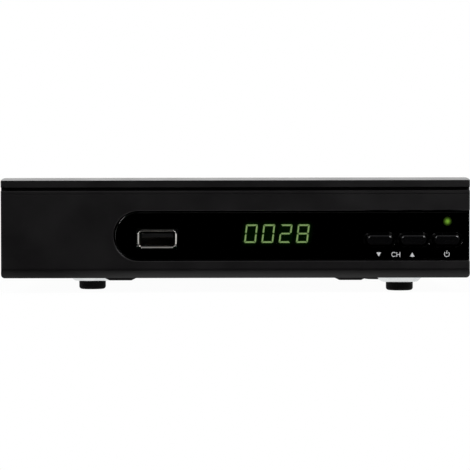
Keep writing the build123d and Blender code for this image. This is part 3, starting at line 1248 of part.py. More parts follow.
with BuildPart() as hdmi_shell:
    with BuildSketch(front(HDMI_TIP)):
        with BuildLine():
            Polyline(*hdmi_outline(0), close=True)
        make_face()
    extrude(amount=HDMI_DEPTH)
    with BuildSketch(front(HDMI_TIP)):
        with BuildLine():
            Polyline(*hdmi_outline(HDMI_SHELL), close=True)
        make_face()
    extrude(amount=HDMI_DEPTH - HDMI_SHELL, mode=Mode.SUBTRACT)
keep(hdmi_shell, "hdmi_shell")

with BuildPart() as hdmi_tongue:
    side = HDMI_W / 2 - HDMI_SHELL - HDMI_FIT
    rise = HDMI_H / 2 - HDMI_SHELL - HDMI_FIT
    block(HDMI_X - side, HDMI_X + side, HDMI_BACK + SEAT, HDMI_BACK + BLADE_ROOT,
          HDMI_Z - BLADE_DOWN - HDMI_WIRE_T, HDMI_Z + rise)
    block(HDMI_X - BLADE_HALF, HDMI_X + BLADE_HALF, HDMI_BACK + BLADE_ROOT - HDMI_FIT, HDMI_TIP - 1.0,
          HDMI_Z - BLADE_DOWN, HDMI_Z + BLADE_UP)
keep(hdmi_tongue, "hdmi_tongue")

with BuildPart() as hdmi_contacts:
    wire_y = (HDMI_BACK + BLADE_ROOT + HDMI_TIP - 1.0) / 2
    with Locations((HDMI_X, wire_y, HDMI_Z + BLADE_UP)):
        with GridLocations(HDMI_PITCH, 0, 10, 1):
            Box(HDMI_WIRE, HDMI_WIRE_LENGTH, HDMI_WIRE_T, align=(Align.CENTER, Align.CENTER, Align.MIN))
    with Locations((HDMI_X, wire_y, HDMI_Z - BLADE_DOWN)):
        with GridLocations(HDMI_PITCH, 0, 9, 1):
            Box(HDMI_WIRE, HDMI_WIRE_LENGTH, HDMI_WIRE_T, align=(Align.CENTER, Align.CENTER, Align.MAX))
keep(hdmi_contacts, "hdmi_contacts")

# ------------------------------------------------------------------ SCART socket
def moat_outline(inset):
    """The plug skirt's outline with its one slanting corner, drawn inwards by this much."""
    w = MOAT_HALF_W - inset
    h = MOAT_HALF_H - inset
    return (
        (SCART_X - w, SCART_MID - h),
        (SCART_X + w, SCART_MID - h),
        (SCART_X + w, SCART_MID + h - MOAT_CUT_H),
        (SCART_X + w - MOAT_CUT_W, SCART_MID + h),
        (SCART_X - w, SCART_MID + h),
    )


with BuildPart() as scart_housing:
    block(SCART_X - SCART_W / 2, SCART_X + SCART_W / 2, SCART_TIP - SCART_DEPTH, SCART_TIP,
          MAIN_TOP, MAIN_TOP + SCART_H)
    chamfer(scart_housing.faces().sort_by(Axis.Y)[-1].edges(), SCART_EDGE)
    # the moat for the plug's metal skirt
    with BuildSketch(front(SCART_TIP)):
        with BuildLine():
            Polyline(*moat_outline(0), close=True)
        make_face()
        with BuildLine():
            Polyline(*moat_outline(MOAT_W), close=True)
        make_face(mode=Mode.SUBTRACT)
    extrude(amount=MOAT_DEPTH, mode=Mode.SUBTRACT)
    with BuildSketch(front(SCART_TIP)):
        with Locations((SCART_X - SCART_SHIFT, SCART_MID - SCART_ROW_Z), (SCART_X, SCART_MID + SCART_ROW_Z)):
            with GridLocations(SCART_PITCH, 0, 10, 1):
                Rectangle(SLOT_W, SLOT_H)
    extrude(amount=SLOT_DEPTH, mode=Mode.SUBTRACT)
keep(scart_housing, "scart_housing")

with BuildPart() as scart_contacts:
    for x, z in ((SCART_X - SCART_SHIFT, SCART_MID - SCART_ROW_Z), (SCART_X, SCART_MID + SCART_ROW_Z)):
        with Locations((x, SCART_TIP - SLOT_DEPTH, z)):
            with GridLocations(SCART_PITCH, 0, 10, 1):
                Box(SCART_WIRE, SCART_WIRE_LENGTH, SCART_WIRE_H, align=(Align.CENTER, Align.MIN, Align.CENTER))
keep(scart_contacts, "scart_contacts")

# ------------------------------------------------------------------ coaxial audio jack
with BuildPart() as rca_housing:
    half = RCA_W / 2
    block(RCA_X - half, RCA_X + half, RCA_BLOCK_Y, REAR_IN - BLOCK_GAP, MAIN_TOP, MAIN_TOP + RCA_H)
    rod(RCA_X, REAR_IN - OVER, Y_REAR + RCA_COLLAR, RCA_Z, RCA_COLLAR_R)
    rod(RCA_X, RCA_ROOT_Y, Y_REAR + OVER, RCA_Z, RCA_ROOT_R, Mode.SUBTRACT)
keep(rca_housing, "rca_housing")

with BuildPart() as rca_barrel:
    rod(RCA_X, Y_REAR + RCA_COLLAR, RCA_TIP, RCA_Z, RCA_R)
    fillet(rca_barrel.faces().sort_by(Axis.Y)[-1].edges(), RCA_EDGE)
    rod(RCA_X, RCA_ROOT_Y, RCA_TIP - OVER, RCA_Z, RCA_ROOT_R)
    rod(RCA_X, RCA_ROOT_Y - OVER, RCA_TIP + OVER, RCA_Z, RCA_BORE_R, Mode.SUBTRACT)
keep(rca_barrel, "rca_barrel")

with BuildPart() as rca_insulator:
    rod(RCA_X, RCA_ROOT_Y, RCA_TIP - 0.5, RCA_Z, RCA_BORE_R)
    rod(RCA_X, REAR_IN - 4.0, RCA_TIP + OVER, RCA_Z, RCA_PIN_R, Mode.SUBTRACT)
keep(rca_insulator, "rca_insulator")

# ------------------------------------------------------------------ DC inlet
with BuildPart() as dc_inlet:
    half = DC_W / 2
    block(DC_X - half, DC_X + half, DC_BLOCK_Y, REAR_IN - BLOCK_GAP, MAIN_TOP, MAIN_TOP + DC_H)
    rod(DC_X, REAR_IN - OVER, DC_TIP, DC_Z, DC_RIM_R)
    rod(DC_X, DC_BORE_END, DC_TIP + OVER, DC_Z, DC_BORE_R, Mode.SUBTRACT)
keep(dc_inlet, "dc_inlet")

with BuildPart() as dc_pin:
    rod(DC_X, DC_BORE_END, DC_TIP - 1.0, DC_Z, DC_PIN_R)
    fillet(dc_pin.faces().sort_by(Axis.Y)[-1].edges(), DC_PIN_ROUND)
keep(dc_pin, "dc_pin")
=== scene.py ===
# %% [markdown]
# # A compact satellite TV receiver
# The real object is a low steel box with a moulded black front panel, a smoked window, three keys, a USB
# socket and a green display. The solids arrive ready made from CAD, at their real size, so most of the work
# here is what CAD leaves out: light, surface finish, and the fine forms that a milling drawing doesn't show.

# %% Load the solids
import json
import math

import bmesh
import bpy
from mathutils import Matrix, Vector


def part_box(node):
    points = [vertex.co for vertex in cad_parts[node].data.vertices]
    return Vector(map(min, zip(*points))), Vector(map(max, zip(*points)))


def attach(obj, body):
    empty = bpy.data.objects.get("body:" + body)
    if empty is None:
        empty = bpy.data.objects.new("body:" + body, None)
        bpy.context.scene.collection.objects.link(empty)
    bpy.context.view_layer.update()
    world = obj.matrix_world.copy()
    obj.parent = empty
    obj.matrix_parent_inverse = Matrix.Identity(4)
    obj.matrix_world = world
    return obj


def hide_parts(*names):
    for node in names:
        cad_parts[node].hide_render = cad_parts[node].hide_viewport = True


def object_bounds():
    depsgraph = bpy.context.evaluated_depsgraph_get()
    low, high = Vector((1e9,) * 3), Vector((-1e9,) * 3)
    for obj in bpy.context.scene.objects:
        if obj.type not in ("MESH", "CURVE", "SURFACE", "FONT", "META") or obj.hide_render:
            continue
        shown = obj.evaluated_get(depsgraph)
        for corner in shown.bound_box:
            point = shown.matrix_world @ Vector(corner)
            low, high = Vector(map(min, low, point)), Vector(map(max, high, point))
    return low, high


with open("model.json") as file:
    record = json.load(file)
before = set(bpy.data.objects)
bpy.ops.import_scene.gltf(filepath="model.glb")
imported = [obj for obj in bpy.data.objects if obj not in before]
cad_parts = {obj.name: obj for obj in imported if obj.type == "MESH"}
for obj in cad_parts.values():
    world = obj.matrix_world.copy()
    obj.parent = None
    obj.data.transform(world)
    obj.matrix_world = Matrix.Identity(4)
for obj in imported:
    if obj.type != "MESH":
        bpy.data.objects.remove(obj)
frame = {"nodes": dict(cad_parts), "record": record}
cad_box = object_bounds()
nodes = frame["nodes"]
MM = 0.001
low, high = (Vector(corner) for corner in cad_box)
print("solids:", len(nodes), "box in mm:", [round(v * 1000, 1) for v in high - low])

# %% [markdown]
# ## The camera
# A product shot of a front panel is taken from well back with a long lens, so that the panel stays square and
# its sides hardly converge. Standing a little above the top edge keeps the lid hidden behind the front panel.

# %% Camera
PANEL_Y = -59.5 * MM  # flat of the front panel
FRAME_WIDTH = 168.05 * MM  # width of the picture in the plane of the panel
CAMERA_SIDE = -0.13 * MM
CAMERA_BACK = 800 * MM
CAMERA_HEIGHT = 45 * MM
AIM_HEIGHT = 20.54 * MM
ROLL = math.radians(0.1)  # the camera leans over by a tenth of a degree
SENSOR = 36  # millimetres
NEAREST = 50 * MM  # what lies nearer to the camera isn't drawn


def aim(thing, target):
    """Turns a camera or a lamp so that it looks at a point."""
    direction = Vector(target) - thing.location
    thing.rotation_euler = direction.to_track_quat("-Z", "Y").to_euler()


camera_data = bpy.data.cameras.new("camera")
camera_data.sensor_width = SENSOR
camera_data.lens = SENSOR * CAMERA_BACK / FRAME_WIDTH
camera_data.clip_start = NEAREST
camera = bpy.data.objects.new("camera", camera_data)
camera.location = (CAMERA_SIDE, PANEL_Y - CAMERA_BACK, CAMERA_HEIGHT)
aim(camera, (CAMERA_SIDE, PANEL_Y, AIM_HEIGHT))
camera.rotation_euler.rotate_axis("Z", -ROLL)
bpy.context.scene.collection.objects.link(camera)
bpy.context.scene.camera = camera
print("lens:", round(camera_data.lens), "mm")

# %% [markdown]
# ## One helper for every material
# A material is a small tree of nodes. One function adds a node, sets it up and joins it to others, and one
# turns a hex colour from sRGB to the linear values that Blender works in. Each finish starts from its name.

# %% Helpers for materials
MIX_FIRST, MIX_SECOND, MIX_RESULT = 6, 7, 2  # the colour sockets of a Mix node
UNEVEN = 0.12  # share by which the gloss of a finish varies over its surface
PATCH_EDGES = (0.3, 0.7)  # heights of the noise where one colour ends and where the other is full
NOISE_ENDS = (0.25, 0.75)  # noise hardly leaves this range


def linear(hex_code):
    """An sRGB hex colour as linear red, green, blue and a full alpha, by the curve of the sRGB standard."""
    channels = [int(hex_code[i : i + 2], 16) / 255 for i in (1, 3, 5)]
    return (*[c / 12.92 if c <= 0.04045 else ((c + 0.055) / 1.055) ** 2.4 for c in channels], 1.0)


def add(tree, kind, settings=None, **inputs):
    """Adds a node, sets its properties, and fills or links its inputs, named with _ for a space."""
    node = tree.nodes.new(kind)
    for key, value in (settings or {}).items():
        setattr(node, key, value)
    for key, value in inputs.items():
        name = key.replace("_", " ")
        socket = node.inputs[int(name[5:])] if name.startswith("input") else node.inputs[name]
        if isinstance(value, bpy.types.NodeSocket):
            tree.links.new(value, socket)
        else:
            socket.default_value = value
    return node


def finish_of(name, colour, **values):
    """A new material with one Principled shader; values set sockets of the shader itself."""
    material = bpy.data.materials.new(name)
    material.use_nodes = True
    tree = material.node_tree
    shader = tree.nodes["Principled BSDF"]
    shader.inputs["Base Color"].default_value = linear(colour)
    for key, value in values.items():
        shader.inputs[key.replace("_", " ")].default_value = value
    return material, tree, shader


def place(tree):
    """The position on the object in metres, which stays with the surface."""
    return tree.nodes.new("ShaderNodeTexCoord").outputs["Object"]


def along(tree, axis):
    """How far along one axis a point of the surface lies, in metres."""
    return add(tree, "ShaderNodeSeparateXYZ", Vector=place(tree)).outputs[axis]


def calculated(tree, operation, first, second):
    """The result of one operation on two values."""
    return add(tree, "ShaderNodeMath", {"operation": operation}, input0=first, input1=second).outputs[0]


def grain(tree, size_mm, detail=2.0, roughness=0.5, vector=None):
    """Noise whose bumps are about this many millimetres apart."""
    return add(tree, "ShaderNodeTexNoise", Vector=vector or place(tree), Scale=1000 / size_mm,
               Detail=detail, Roughness=roughness).outputs["Fac"]


def between(tree, value, low_value, high_value, start=0.0, end=1.0):
    """A value moved from one range to another, and held inside it."""
    return add(tree, "ShaderNodeMapRange", Value=value, From_Min=start, From_Max=end,
               To_Min=low_value, To_Max=high_value).outputs["Result"]


def blend_of(tree, share, first, second):
    """A colour between two hex colours."""
    node = add(tree, "ShaderNodeMix", {"data_type": "RGBA"}, Factor=share)
    node.inputs[MIX_FIRST].default_value = linear(first)
    node.inputs[MIX_SECOND].default_value = linear(second)
    return node.outputs[MIX_RESULT]


def dent(tree, shader, height, depth_mm, strength=1.0):
    """Joins a height pattern to the shader's normal; depth is the real height of the pattern."""
    bump = add(tree, "ShaderNodeBump", Height=height, Distance=depth_mm * MM, Strength=strength)
    tree.links.new(bump.outputs["Normal"], shader.inputs["Normal"])


def wear(material_name, colour, other, rough, size_mm, bump_mm, patch_mm=14.0, **values):
    """A plain finish with life in it: two near colours in soft patches, uneven gloss and a fine grain."""
    material, tree, shader = finish_of(material_name, colour, **values)
    patches = grain(tree, patch_mm, 3.0)
    two_tone = blend_of(tree, between(tree, patches, 0, 1, *PATCH_EDGES), colour, other)
    tree.links.new(two_tone, shader.inputs["Base Color"])
    gloss = between(tree, patches, rough * (1 - UNEVEN), rough * (1 + UNEVEN), *NOISE_ENDS)
    tree.links.new(gloss, shader.inputs["Roughness"])
    dent(tree, shader, grain(tree, size_mm, 2.0), bump_mm)
    return material


materials = {}

# %% [markdown]
# ## Moulded plastics
# The front panel is ABS from a spark-eroded tool: satin, very dark, with a grain of a few hundredths of a
# millimetre. The keys come from a polished tool and are glossier. Nylon parts of the sockets are matt because
# of their glass fibres. None conducts and all have an index near 1.5, so only colour and gloss differ.

# %% Plastics
PLASTICS = {  # slot: name, two colours, roughness, size and height of the grain in mm, index of refraction
    "satin_black_abs": ("satin black spark-eroded ABS", "#0f0e0f", "#121112", 0.33, 0.35, 0.002, 1.5),
    "gloss_black_abs": ("polished black ABS", "#0a0a0b", "#0d0d0e", 0.12, 0.6, 0.0008, 1.5),
    "switch_plastic": ("matt black switch housing", "#1c1c1d", "#222223", 0.5, 0.3, 0.003, 1.5),
    "black_nylon": ("glass-filled black nylon", "#0c0c0d", "#121213", 0.36, 0.35, 0.003, 1.5),
    "white_nylon": ("natural white nylon", "#e4e0d2", "#d9d4c4", 0.42, 0.5, 0.003, 1.53),
    "orange_nylon": ("orange moulded nylon", "#d9690f", "#c85f0c", 0.4, 0.5, 0.003, 1.53),
    "chip_epoxy": ("black chip moulding epoxy", "#1a1a1c", "#202022", 0.62, 0.2, 0.004, 1.55),
    "display_black": ("matt black display case", "#0d0e0d", "#111211", 0.6, 0.3, 0.003, 1.5),
    "ferrite": ("sintered ferrite", "#3c3b3a", "#474543", 0.7, 0.25, 0.01, 1.6),
}
for slot, (*look, index) in PLASTICS.items():
    materials[slot] = wear(*look, IOR=index)
print("plastics:", len(materials))

# %% [markdown]
# ## Metals
# The base is galvanised sheet: zinc crystals a few millimetres wide reflect at slightly different angles, the
# spangle. Socket shells are nickel over steel, smoother and a little yellow. Tinned cans are duller, gold
# contacts yellow, and the heatsink is anodised black. A metal's colour is its reflection.

# %% Metals
METALS = {  # slot: name, two colours, roughness, size of the patches, size and height of the grain in mm
    "nickel_plate": ("bright nickel plating on steel", "#d6d4cf", "#c9c7c2", 0.2, 5.0, 0.4, 0.0006),
    "gold_plate": ("gold plating on contacts", "#e3b65c", "#d7a749", 0.24, 3.0, 0.4, 0.0006),
    "tinplate": ("tinned steel sheet", "#c9cacb", "#bcbdbf", 0.33, 9.0, 0.6, 0.001),
    "zinc_screw": ("clear zinc plating on screws", "#c4c7cb", "#b4b9c2", 0.3, 1.5, 0.2, 0.0006),
    "black_aluminium": ("black anodised aluminium", "#26272a", "#2c2d30", 0.42, 6.0, 0.3, 0.002),
}
for slot, (*look, patch_mm, grain_mm, bump_mm) in METALS.items():
    materials[slot] = wear(*look, grain_mm, bump_mm, patch_mm, Metallic=1.0)

material, tree, shader = finish_of("hot-dip galvanised steel sheet", "#cfd2d3", Metallic=1.0)
SPANGLE = 5.0  # millimetres across one zinc crystal
crystals = add(tree, "ShaderNodeTexVoronoi", {"feature": "F1"}, Vector=place(tree), Scale=1000 / SPANGLE)
tone = add(tree, "ShaderNodeSeparateColor", Color=crystals.outputs["Color"]).outputs["Red"]
tree.links.new(blend_of(tree, tone, "#d9dcdd", "#edefef"), shader.inputs["Base Color"])
tree.links.new(between(tree, tone, 0.24, 0.42), shader.inputs["Roughness"])
dent(tree, shader, grain(tree, 0.5), 0.001)
materials["galvanised_steel"] = material
print("plastics and metals:", len(materials))

# %% [markdown]
# ## Paint, rubber, laminate and the rest
# The cover is powder coated: matt black with a fine orange peel. Feet are filled rubber with a dry bloom.
# Circuit boards carry a green solder mask over copper tracks, which show as slightly lighter lines.

# %% Coatings and soft materials
COATINGS = {  # slot: name, two colours, roughness, size and height of the grain, size of the patches, rest
    "black_painted_steel": ("black powder coat on steel", "#151517", "#19191b", 0.46, 0.5, 0.012, 14.0,
                            {"IOR": 1.5}),
    "black_screw": ("black-coated screw steel", "#1b1b1d", "#242427", 0.38, 0.25, 0.003, 14.0,
                    {"Metallic": 0.6}),
    "foot_rubber": ("filled black rubber", "#060606", "#0a0a0a", 0.8, 0.3, 0.01, 5.0, {"IOR": 1.2}),
    "cable_jacket": ("black PVC cable jacket", "#141414", "#1a1a1a", 0.45, 0.4, 0.004, 14.0, {"IOR": 1.53}),
    "mark_ink": ("light grey pad-printed ink", "#cbccce", "#bfc1c3", 0.55, 0.15, 0.001, 0.8, {"IOR": 1.5}),
}
for slot, (*look, values) in COATINGS.items():
    materials[slot] = wear(*look, **values)

# the ribbon's cores stand out as ridges
CORE_PITCH = 1.27  # millimetres
material, tree, shader = finish_of("grey PVC ribbon cable", "#8f9194", Roughness=0.45, IOR=1.53)
cores = add(tree, "ShaderNodeTexWave", {"wave_type": "BANDS", "bands_direction": "X"}, Vector=place(tree),
            Scale=1000 / CORE_PITCH / 20 * math.pi, Distortion=0.0).outputs["Fac"]
tree.links.new(blend_of(tree, cores, "#77797c", "#9b9da0"), shader.inputs["Base Color"])
dent(tree, shader, cores, 0.15)
materials["ribbon_grey"] = material

# solder mask over tracks: thin cell borders read as copper runs under green lacquer
material, tree, shader = finish_of("green solder mask on glass laminate", "#0f4a2a", Roughness=0.28, IOR=1.55)
TRACK_PITCH = 3.2  # millimetres between neighbouring tracks, drawn wide enough to show
TRACK_EDGE = (0.03, 0.07)  # share of the pitch from a track's middle to where its slope starts and ends
weave = add(tree, "ShaderNodeTexVoronoi", {"feature": "DISTANCE_TO_EDGE"}, Vector=place(tree),
            Scale=1000 / TRACK_PITCH).outputs["Distance"]
track = between(tree, weave, 1.0, 0.0, *TRACK_EDGE)
tree.links.new(blend_of(tree, track, "#0c4124", "#1c6b3d"), shader.inputs["Base Color"])
dent(tree, shader, track, 0.02)
materials["circuit_board"] = material

# a capacitor is an aluminium can in a dark blue sleeve that leaves its top bare
SLEEVE_TOP = 24.2 * MM
material, tree, shader = finish_of("blue shrink sleeve over an aluminium can", "#16224a", IOR=1.5)
bare = between(tree, along(tree, "Z"), 0.0, 1.0, SLEEVE_TOP, SLEEVE_TOP + MM / 10)
tree.links.new(blend_of(tree, bare, "#141f45", "#c2c4c6"), shader.inputs["Base Color"])
tree.links.new(bare, shader.inputs["Metallic"])
tree.links.new(between(tree, grain(tree, 3.0), 0.22, 0.34), shader.inputs["Roughness"])
materials["capacitor_sleeve"] = material

# the infrared window is a very dark red epoxy that only long waves pass
materials["ir_epoxy"] = wear("infrared-passing epoxy", "#170a0e", "#1c0d11", 0.08, 1.5, 0.001, IOR=1.55)
print("materials so far:", len(materials))

# %% [markdown]
# ## The window and what glows behind it
# The window is smoked acrylic, polished on both faces. It is clear enough for a lit segment to come through
# and dark enough to hide the rest, so it is a transmissive shader with a dark tint, and the lit pieces behind
# it are bright enough to make up for what the tint takes away.

# %% Window and lights behind it
SMOKE = "#4a4a4c"  # the tint of one pass through the sheet
GLOW_UNEVEN = 0.15  # share by which the gloss of a lit piece varies
material, tree, shader = finish_of("polished smoked acrylic", SMOKE, IOR=1.49, Transmission_Weight=1.0)
tree.links.new(between(tree, grain(tree, 6.0, 4.0), 0.015, 0.04), shader.inputs["Roughness"])
materials["smoked_acrylic"] = material


def glowing(name, colour, light, strength, rough):
    """A lit epoxy: its own colour, the colour and strength of the light it gives off, and uneven gloss."""
    material, tree, shader = finish_of(name, colour, IOR=1.55)
    shader.inputs["Emission Color"].default_value = linear(light)
    shader.inputs["Emission Strength"].default_value = strength
    gloss = between(tree, grain(tree, 2.0), rough * (1 - GLOW_UNEVEN), rough * (1 + GLOW_UNEVEN))
    tree.links.new(gloss, shader.inputs["Roughness"])
    return material


LED_EPOXY = "#4f8a2a"
LED_LIGHT = "#a2e64a"
LED_ROUGH = 0.25
materials["display_green"] = glowing("green display segment, lit", "#86a84e", "#a6ca7e", 7.8, 0.4)
materials["led_lens"] = glowing("green diode epoxy", LED_EPOXY, LED_LIGHT, 0.4, LED_ROUGH)

# %% [markdown]
# ## Dress the solids
# Every solid names its finish in the record that came with the model, so one loop gives each its material.

# %% Give each solid its finish
for part in frame["record"]["subparts"]:
    solid = nodes[part["node"]]
    solid.data.materials.clear()
    solid.data.materials.append(materials[part["material_slot"]])

# %% [markdown]
# ## Helpers for modelled pieces
# Some forms are too fine for a drawing: the flare of a socket, a thread, the layers of light in a lens. They
# are modelled here and stand in for the plain solid. Round pieces are turned, as on a lathe: a profile is
# drawn once and spun about an axis. Every piece is closed, faces outwards and rides on its body.

# %% Helpers for pieces
SMOOTH_UNDER = math.radians(35)  # a crease sharper than this stays an edge
SAME_POINT = MM / 500  # points nearer to each other than this are one
CORNER_STEPS = 5
UPRIGHT = Matrix.Rotation(math.pi / 2, 3, "X")  # turns a flat shape up to face the front


def box_of(node):
    """The lowest corner, the highest corner and the middle of a solid, as vectors."""
    lowest, highest = (Vector(corner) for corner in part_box(node))
    return lowest, highest, (lowest + highest) / 2


def new_verts(result):
    """The vertices among what an operator made."""
    return [part for part in result["geom"] if isinstance(part, bmesh.types.BMVert)]


def join(shape, other):
    """Moves the contents of one bmesh into another."""
    carrier = bpy.data.meshes.new("carrier")
    other.to_mesh(carrier)
    other.free()
    shape.from_mesh(carrier)
    bpy.data.meshes.remove(carrier)


def piece_of(shape, name, material, stands_for=(), body="receiver"):
    """Makes a finished piece of a bmesh: joined, facing out, in its place, and riding on its body."""
    bmesh.ops.remove_doubles(shape, verts=shape.verts, dist=SAME_POINT)
    bmesh.ops.recalc_face_normals(shape, faces=shape.faces)
    mesh = bpy.data.meshes.new(name)
    shape.to_mesh(mesh)
    shape.free()
    mesh.shade_smooth()
    mesh.set_sharp_from_angle(angle=SMOOTH_UNDER)
    mesh.materials.append(material)
    piece = bpy.data.objects.new(name, mesh)
    bpy.context.scene.collection.objects.link(piece)
    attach(piece, body)
    if stands_for:
        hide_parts(*stands_for)
    return piece


def turned(profile, centre, steps=48):
    """Spins a closed profile of (radius, depth) in millimetres about the Y axis through a centre."""
    shape = bmesh.new()
    verts = [shape.verts.new(Vector(centre) + Vector((0, depth * MM, radius * MM)))
             for radius, depth in profile]
    pairs = [(a, b) for a, b in zip(verts, verts[1:] + verts[:1])
             if max(a.co.z, b.co.z) > centre[2] + MM / 1000]  # a line on the axis itself makes no face
    edges = [shape.edges.new(pair) for pair in pairs]
    bmesh.ops.spin(shape, geom=verts + edges, cent=centre, axis=(0, 1, 0), angle=2 * math.pi, steps=steps,
                   use_merge=True)
    return shape


def rectangle(width, height, corner=0.0):
    """A flat rectangle in the XY plane, with round corners if their radius is given."""
    shape = bmesh.new()
    bmesh.ops.create_grid(shape, x_segments=1, y_segments=1, size=0.5)
    bmesh.ops.scale(shape, vec=(width, height, 1), verts=shape.verts)
    if corner:
        bmesh.ops.bevel(shape, geom=shape.verts[:], offset=corner, segments=CORNER_STEPS, affect="VERTICES",
                        profile=0.5, material=-1)
    return shape


def rounded_plate(width, height, corner, thickness, centre, slant=0.0):
    """An upright plate with round corners in front of the centre, leaning by slant per unit of height."""
    plate = rectangle(width, height, corner)
    grown = bmesh.ops.extrude_face_region(plate, geom=plate.faces[:])
    bmesh.ops.translate(plate, vec=(0, 0, thickness), verts=new_verts(grown))
    lean = Matrix(((1, slant, 0), (0, 1, 0), (0, 0, 1)))
    bmesh.ops.transform(plate, matrix=(UPRIGHT @ lean).to_4x4(), verts=plate.verts)
    bmesh.ops.translate(plate, vec=centre, verts=plate.verts)
    return plate


# %% [markdown]
# ## The mouth of the USB socket
# The shell is folded from nickelled sheet 0.3 mm thick, and its mouth flares outwards all round to guide the
# plug in. The sheet is drawn without thickness: a rounded outline is run back as a tube, and then run forward
# in small steps that grow outwards along the bend. Solidify gives it its gauge, and Bevel takes off the edge.

# %% USB shell with a flared mouth
SHEET = 0.3 * MM
MOUTH_W = 12.95 * MM  # between the middles of the side walls
MOUTH_H = 5.55 * MM
MOUTH_CORNER = 0.9 * MM
BEND = 0.42 * MM  # radius of the bend, in the middle of the sheet
FLARE = math.radians(60)
DRAW = 0.42 * MM  # straight end of the flare
BEND_STEPS = 6
BURR = SHEET / 6  # what is broken off the sheet's edges
BURR_OVER = math.radians(50)  # from this angle on an edge is broken
lowest, highest, middle = box_of("usb_shell")
mouth = Vector((middle.x, lowest.y + SHEET / 2 + BEND * math.sin(FLARE) + DRAW * math.cos(FLARE), middle.z))

shape = rectangle(MOUTH_W, MOUTH_H, MOUTH_CORNER)
bmesh.ops.rotate(shape, cent=(0, 0, 0), matrix=UPRIGHT, verts=shape.verts)
bmesh.ops.delete(shape, geom=shape.faces[:], context="FACES_KEEP_BOUNDARY")
rim = shape.edges[:]
tube = bmesh.ops.extrude_edge_only(shape, edges=rim)
bmesh.ops.translate(shape, vec=(0, highest.y - SHEET - mouth.y, 0), verts=new_verts(tube))


def grow(edges, outwards, forwards):
    """Runs the rim on: every point moves away from the socket's axis and towards the front."""
    made = bmesh.ops.extrude_edge_only(shape, edges=edges)
    reach_x, reach_z = MOUTH_W / 2 - MOUTH_CORNER, MOUTH_H / 2 - MOUTH_CORNER
    for vert in new_verts(made):
        core = Vector((min(max(vert.co.x, -reach_x), reach_x), vert.co.y,
                       min(max(vert.co.z, -reach_z), reach_z)))
        vert.co += (vert.co - core).normalized() * outwards - Vector((0, forwards, 0))
    return [part for part in made["geom"] if isinstance(part, bmesh.types.BMEdge)]


for k in range(BEND_STEPS):
    before, after = (FLARE * (k + i) / BEND_STEPS for i in (0, 1))
    rim = grow(rim, BEND * (math.cos(before) - math.cos(after)),
               BEND * (math.sin(after) - math.sin(before)))
# only the four sides run on to their full width, so the corners look cut off
sides = [edge for edge in rim if edge.calc_length() > MOUTH_CORNER]
grow(sides, DRAW * math.sin(FLARE), DRAW * math.cos(FLARE))
bmesh.ops.translate(shape, vec=mouth, verts=shape.verts)
usb_shell = piece_of(shape, "usb_shell_flared", materials["nickel_plate"], ["usb_shell"])
gauge = usb_shell.modifiers.new("sheet thickness", "SOLIDIFY")
gauge.thickness = SHEET
gauge.offset = 0.0
gauge.use_even_offset = True
burr = usb_shell.modifiers.new("broken edge", "BEVEL")
burr.width = BURR
burr.segments = 2
burr.limit_method = "ANGLE"
burr.angle_limit = BURR_OVER
usb_shell.modifiers.new("flat walls stay flat", "WEIGHTED_NORMAL").keep_sharp = True
print("usb shell faces:", len(usb_shell.data.polygons))

# %% [markdown]
# ## Light in the display
# A lit segment sits in a white plastic well, and each digit stands in a faint glow, which is painted light:
# thin glowing layers paint it, two soft ones round each digit and one in the wells.

# %% Glow round the digits
DIGIT_PITCH = 6.2 * MM
DIGIT_STEPS = (-1.5, -0.5, 0.5, 1.5)  # places of the digits from the middle, in pitches
DIGIT_W = 4.2 * MM
DIGIT_H = 6.6 * MM
DIGIT_CORNER = 1 * MM
DIGIT_SLANT = 0.117  # sideways lean per unit of height
SEGMENT = 0.56 * MM
LIT = ("abcdef", "abcdef", "abged", "abcdefg")  # segments a to f run clockwise from the top, g is the middle
PAINTED_GLOW_COLOUR = "#35e010"
WELL_MARGIN = 0.26 * MM  # how far the painted glow reaches past a segment inside its well
PAINTED_GLOW_LAYERS = ((1.3 * MM, 0.02 * MM, 0.025), (0.5 * MM, 0.04 * MM, 0.07))  # margin, thickness and strength
WELL_THICKNESS = 0.06 * MM
WELL_STRENGTH = 0.2
LAYER = MM / 1000  # bars that meet differ by this much in thickness, so that no two faces coincide
lowest, highest, middle = box_of("display_segments")


def paint_glow(shape, name, strength):
    """Makes a layer of painted glow of a finished shape."""
    return piece_of(shape, name,
                    glowing(f"painted glow of {name}", "#101410", PAINTED_GLOW_COLOUR, strength, 0.5))


# painted glow round each digit: soft glowing plates a little larger than the digit
for level, (margin, thickness, strength) in enumerate(PAINTED_GLOW_LAYERS):
    glow = bmesh.new()
    for step in DIGIT_STEPS:
        centre = (middle.x + step * DIGIT_PITCH, highest.y, middle.z)
        join(glow, rounded_plate(DIGIT_W + 2 * margin, DIGIT_H + 2 * margin, DIGIT_CORNER + margin,
                                 thickness, centre, DIGIT_SLANT))
    paint_glow(glow, f"digit_painted_glow_{level + 1}", strength)

reach_x = (DIGIT_W - SEGMENT) / 2
reach_z = (DIGIT_H - SEGMENT) / 4
flat_bar = (2 * reach_x + WELL_MARGIN, SEGMENT + 2 * WELL_MARGIN)
upright_bar = (SEGMENT + 2 * WELL_MARGIN, 2 * reach_z + WELL_MARGIN)
PLACES = {"a": (0, 2, flat_bar), "b": (1, 1, upright_bar), "c": (1, -1, upright_bar), "d": (0, -2, flat_bar),
          "e": (-1, -1, upright_bar), "f": (-1, 1, upright_bar), "g": (0, 0, flat_bar)}
# painted glow in the wells: glowing bars a little larger than each lit segment
glow = bmesh.new()
for step, letters in zip(DIGIT_STEPS, LIT):
    for depth, letter in enumerate(letters):
        right, up, (bar_w, bar_h) = PLACES[letter]
        centre = (middle.x + step * DIGIT_PITCH + right * reach_x + DIGIT_SLANT * up * reach_z, highest.y,
                  middle.z + up * reach_z)
        join(glow, rounded_plate(bar_w, bar_h, WELL_MARGIN, WELL_THICKNESS + depth * LAYER, centre,
                                 DIGIT_SLANT))
paint_glow(glow, "well_painted_glow", WELL_STRENGTH)

# %% [markdown]
# ## Light in the diode
# The dome is brightest where the chip lies behind it and falls off towards its edge. Rings of lit epoxy with
# plain strengths make the steps of the fall-off.

